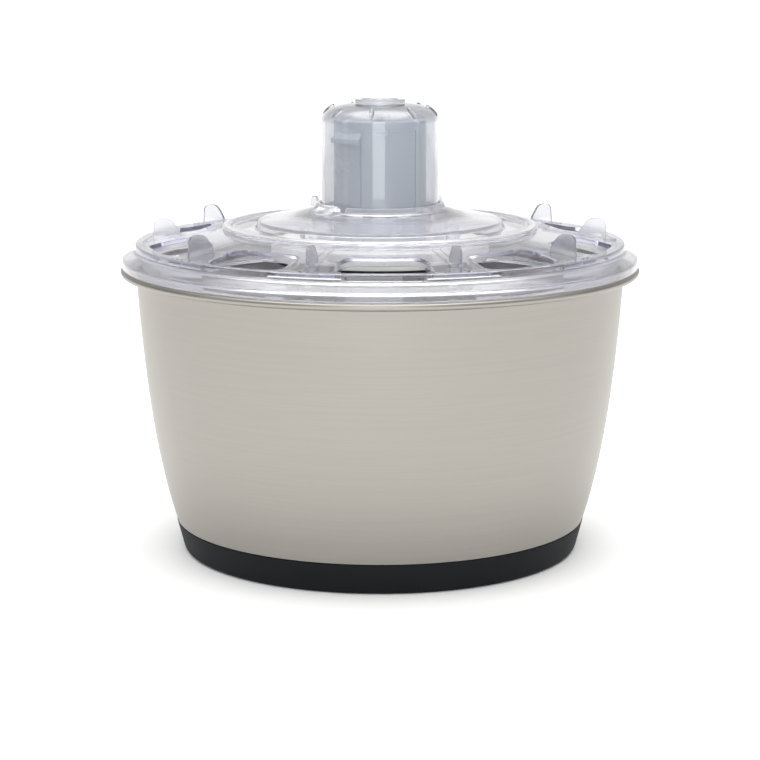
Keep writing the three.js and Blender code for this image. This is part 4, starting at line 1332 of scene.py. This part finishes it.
# solids of the frame that nothing replaces get their own finishes
keptFinishes = {
    "drive_screw": whiteAcetal,
    "drive_nut": whiteAcetal,
    "spring_seat": whiteAcetal,
    "clutch_ring": whiteAcetal,
    "clutch_crown": whiteAcetal,
    "spindle": screwSteel,
    "spindle_washer": screwSteel,
    "knob_screw": screwSteel,
}
for node, finish in keptFinishes.items():
    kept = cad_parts[node]
    if kept.material_slots:
        kept.material_slots[0].material = finish
    else:
        kept.data.materials.append(finish)
print("drive and inner works finished")


studio = {
    "floorSize": 40.0,
    "floor": "fbfbfb",
    "skyTop": 3.35,
    "skyMiddle": 0.62,
    "skyLow": 1.0,
    "sideFall": 0.65,
}


def makeStudio():
    bm = bmesh.new()
    half = studio["floorSize"] / 2
    corners = ((-half, -half), (half, -half), (half, half), (-half, half))
    bm.faces.new([bm.verts.new((x, y, 0)) for x, y in corners])
    paper, tree, shader = newMaterial("matt white paper")
    fibre = addNode(tree, "ShaderNodeTexNoise", {"Scale": 400.0}, {"Vector": ownPoint(tree)})
    bump = addNode(tree, "ShaderNodeBump", {"Strength": 0.02, "Distance": 0.0001}, {
        "Height": fibre.outputs["Fac"],
    })
    setNode(tree, shader, {
        "Base Color": linearColour(studio["floor"]), "Roughness": 0.9, "Specular IOR Level": 0.1,
    }, {"Normal": bump.outputs[0]})
    pieceFrom("floor", bm, paper)

    world = bpy.data.worlds.new("studio light")
    bpy.context.scene.world = world
    world.use_nodes = True
    tree = world.node_tree
    tree.nodes.clear()
    where = addNode(tree, "ShaderNodeTexCoord")
    parts = addNode(tree, "ShaderNodeSeparateXYZ", links={0: where.outputs["Generated"]})
    ramp = addNode(tree, "ShaderNodeValToRGB", links={0: parts.outputs["Z"]})
    low, middle, peak = studio["skyLow"], studio["skyMiddle"], studio["skyTop"]
    levels = ((0.0, low), (0.2, low), (0.36, middle), (0.72, middle), (0.88, peak), (1.0, peak))
    setStops(ramp, *[(at, (level / peak, level / peak, level / peak, 1)) for at, level in levels])
    across = addNode(tree, "ShaderNodeMath", {"operation": "POWER", 1: 2.0}, {0: parts.outputs["X"]})
    dimmed = addNode(tree, "ShaderNodeMath", {"operation": "MULTIPLY_ADD", 1: -studio["sideFall"], 2: 1.0}, {
        0: across.outputs[0],
    })
    shaded = addNode(tree, "ShaderNodeVectorMath", {"operation": "SCALE"}, {
        0: ramp.outputs[0], "Scale": dimmed.outputs[0],
    })
    sky = addNode(tree, "ShaderNodeBackground", {"Strength": peak}, {"Color": shaded.outputs[0]})
    addNode(tree, "ShaderNodeOutputWorld", links={0: sky.outputs[0]})


makeStudio()

lights = {
    "front softbox": {"at": (-0.07, -1.65, 0.58), "size": (0.75, 1.15), "power": 6},
    "left strip": {"at": (-1.7, -0.5, 0.9), "size": (0.35, 1.5), "power": 2},
    "right strip": {"at": (1.7, -0.3, 0.9), "size": (0.35, 1.5), "power": 2},
    "top softbox": {"at": (0.0, 0.25, 1.7), "size": (1.6, 1.2), "power": 4},
}


def makeLights():
    target = Vector((0, 0, 0.12))
    for name, light in lights.items():
        data = bpy.data.lights.new(name, "AREA")
        data.shape = "RECTANGLE"
        data.size, data.size_y = light["size"]
        data.energy = light["power"]
        lamp = objectFrom(name, data)
        lamp.location = light["at"]
        lamp.rotation_euler = (target - lamp.location).to_track_quat("-Z", "Y").to_euler()


makeLights()

cameraSet = {"at": (0, -1.1704, 0.3092), "pitch": 79.13, "lens": 110.98}


def makeCamera():
    data = bpy.data.cameras.new("camera")
    data.lens = cameraSet["lens"]
    data.sensor_width = 36
    camera = objectFrom("camera", data)
    camera.location = cameraSet["at"]
    camera.rotation_euler = (math.radians(cameraSet["pitch"]), 0, 0)
    bpy.context.scene.camera = camera


makeCamera()

scene = bpy.context.scene
scene.view_settings.view_transform = "Standard"
scene.cycles.max_bounces = 40
scene.cycles.transmission_bounces = 36
scene.cycles.glossy_bounces = 6
scene.cycles.diffuse_bounces = 3
print("studio ready")
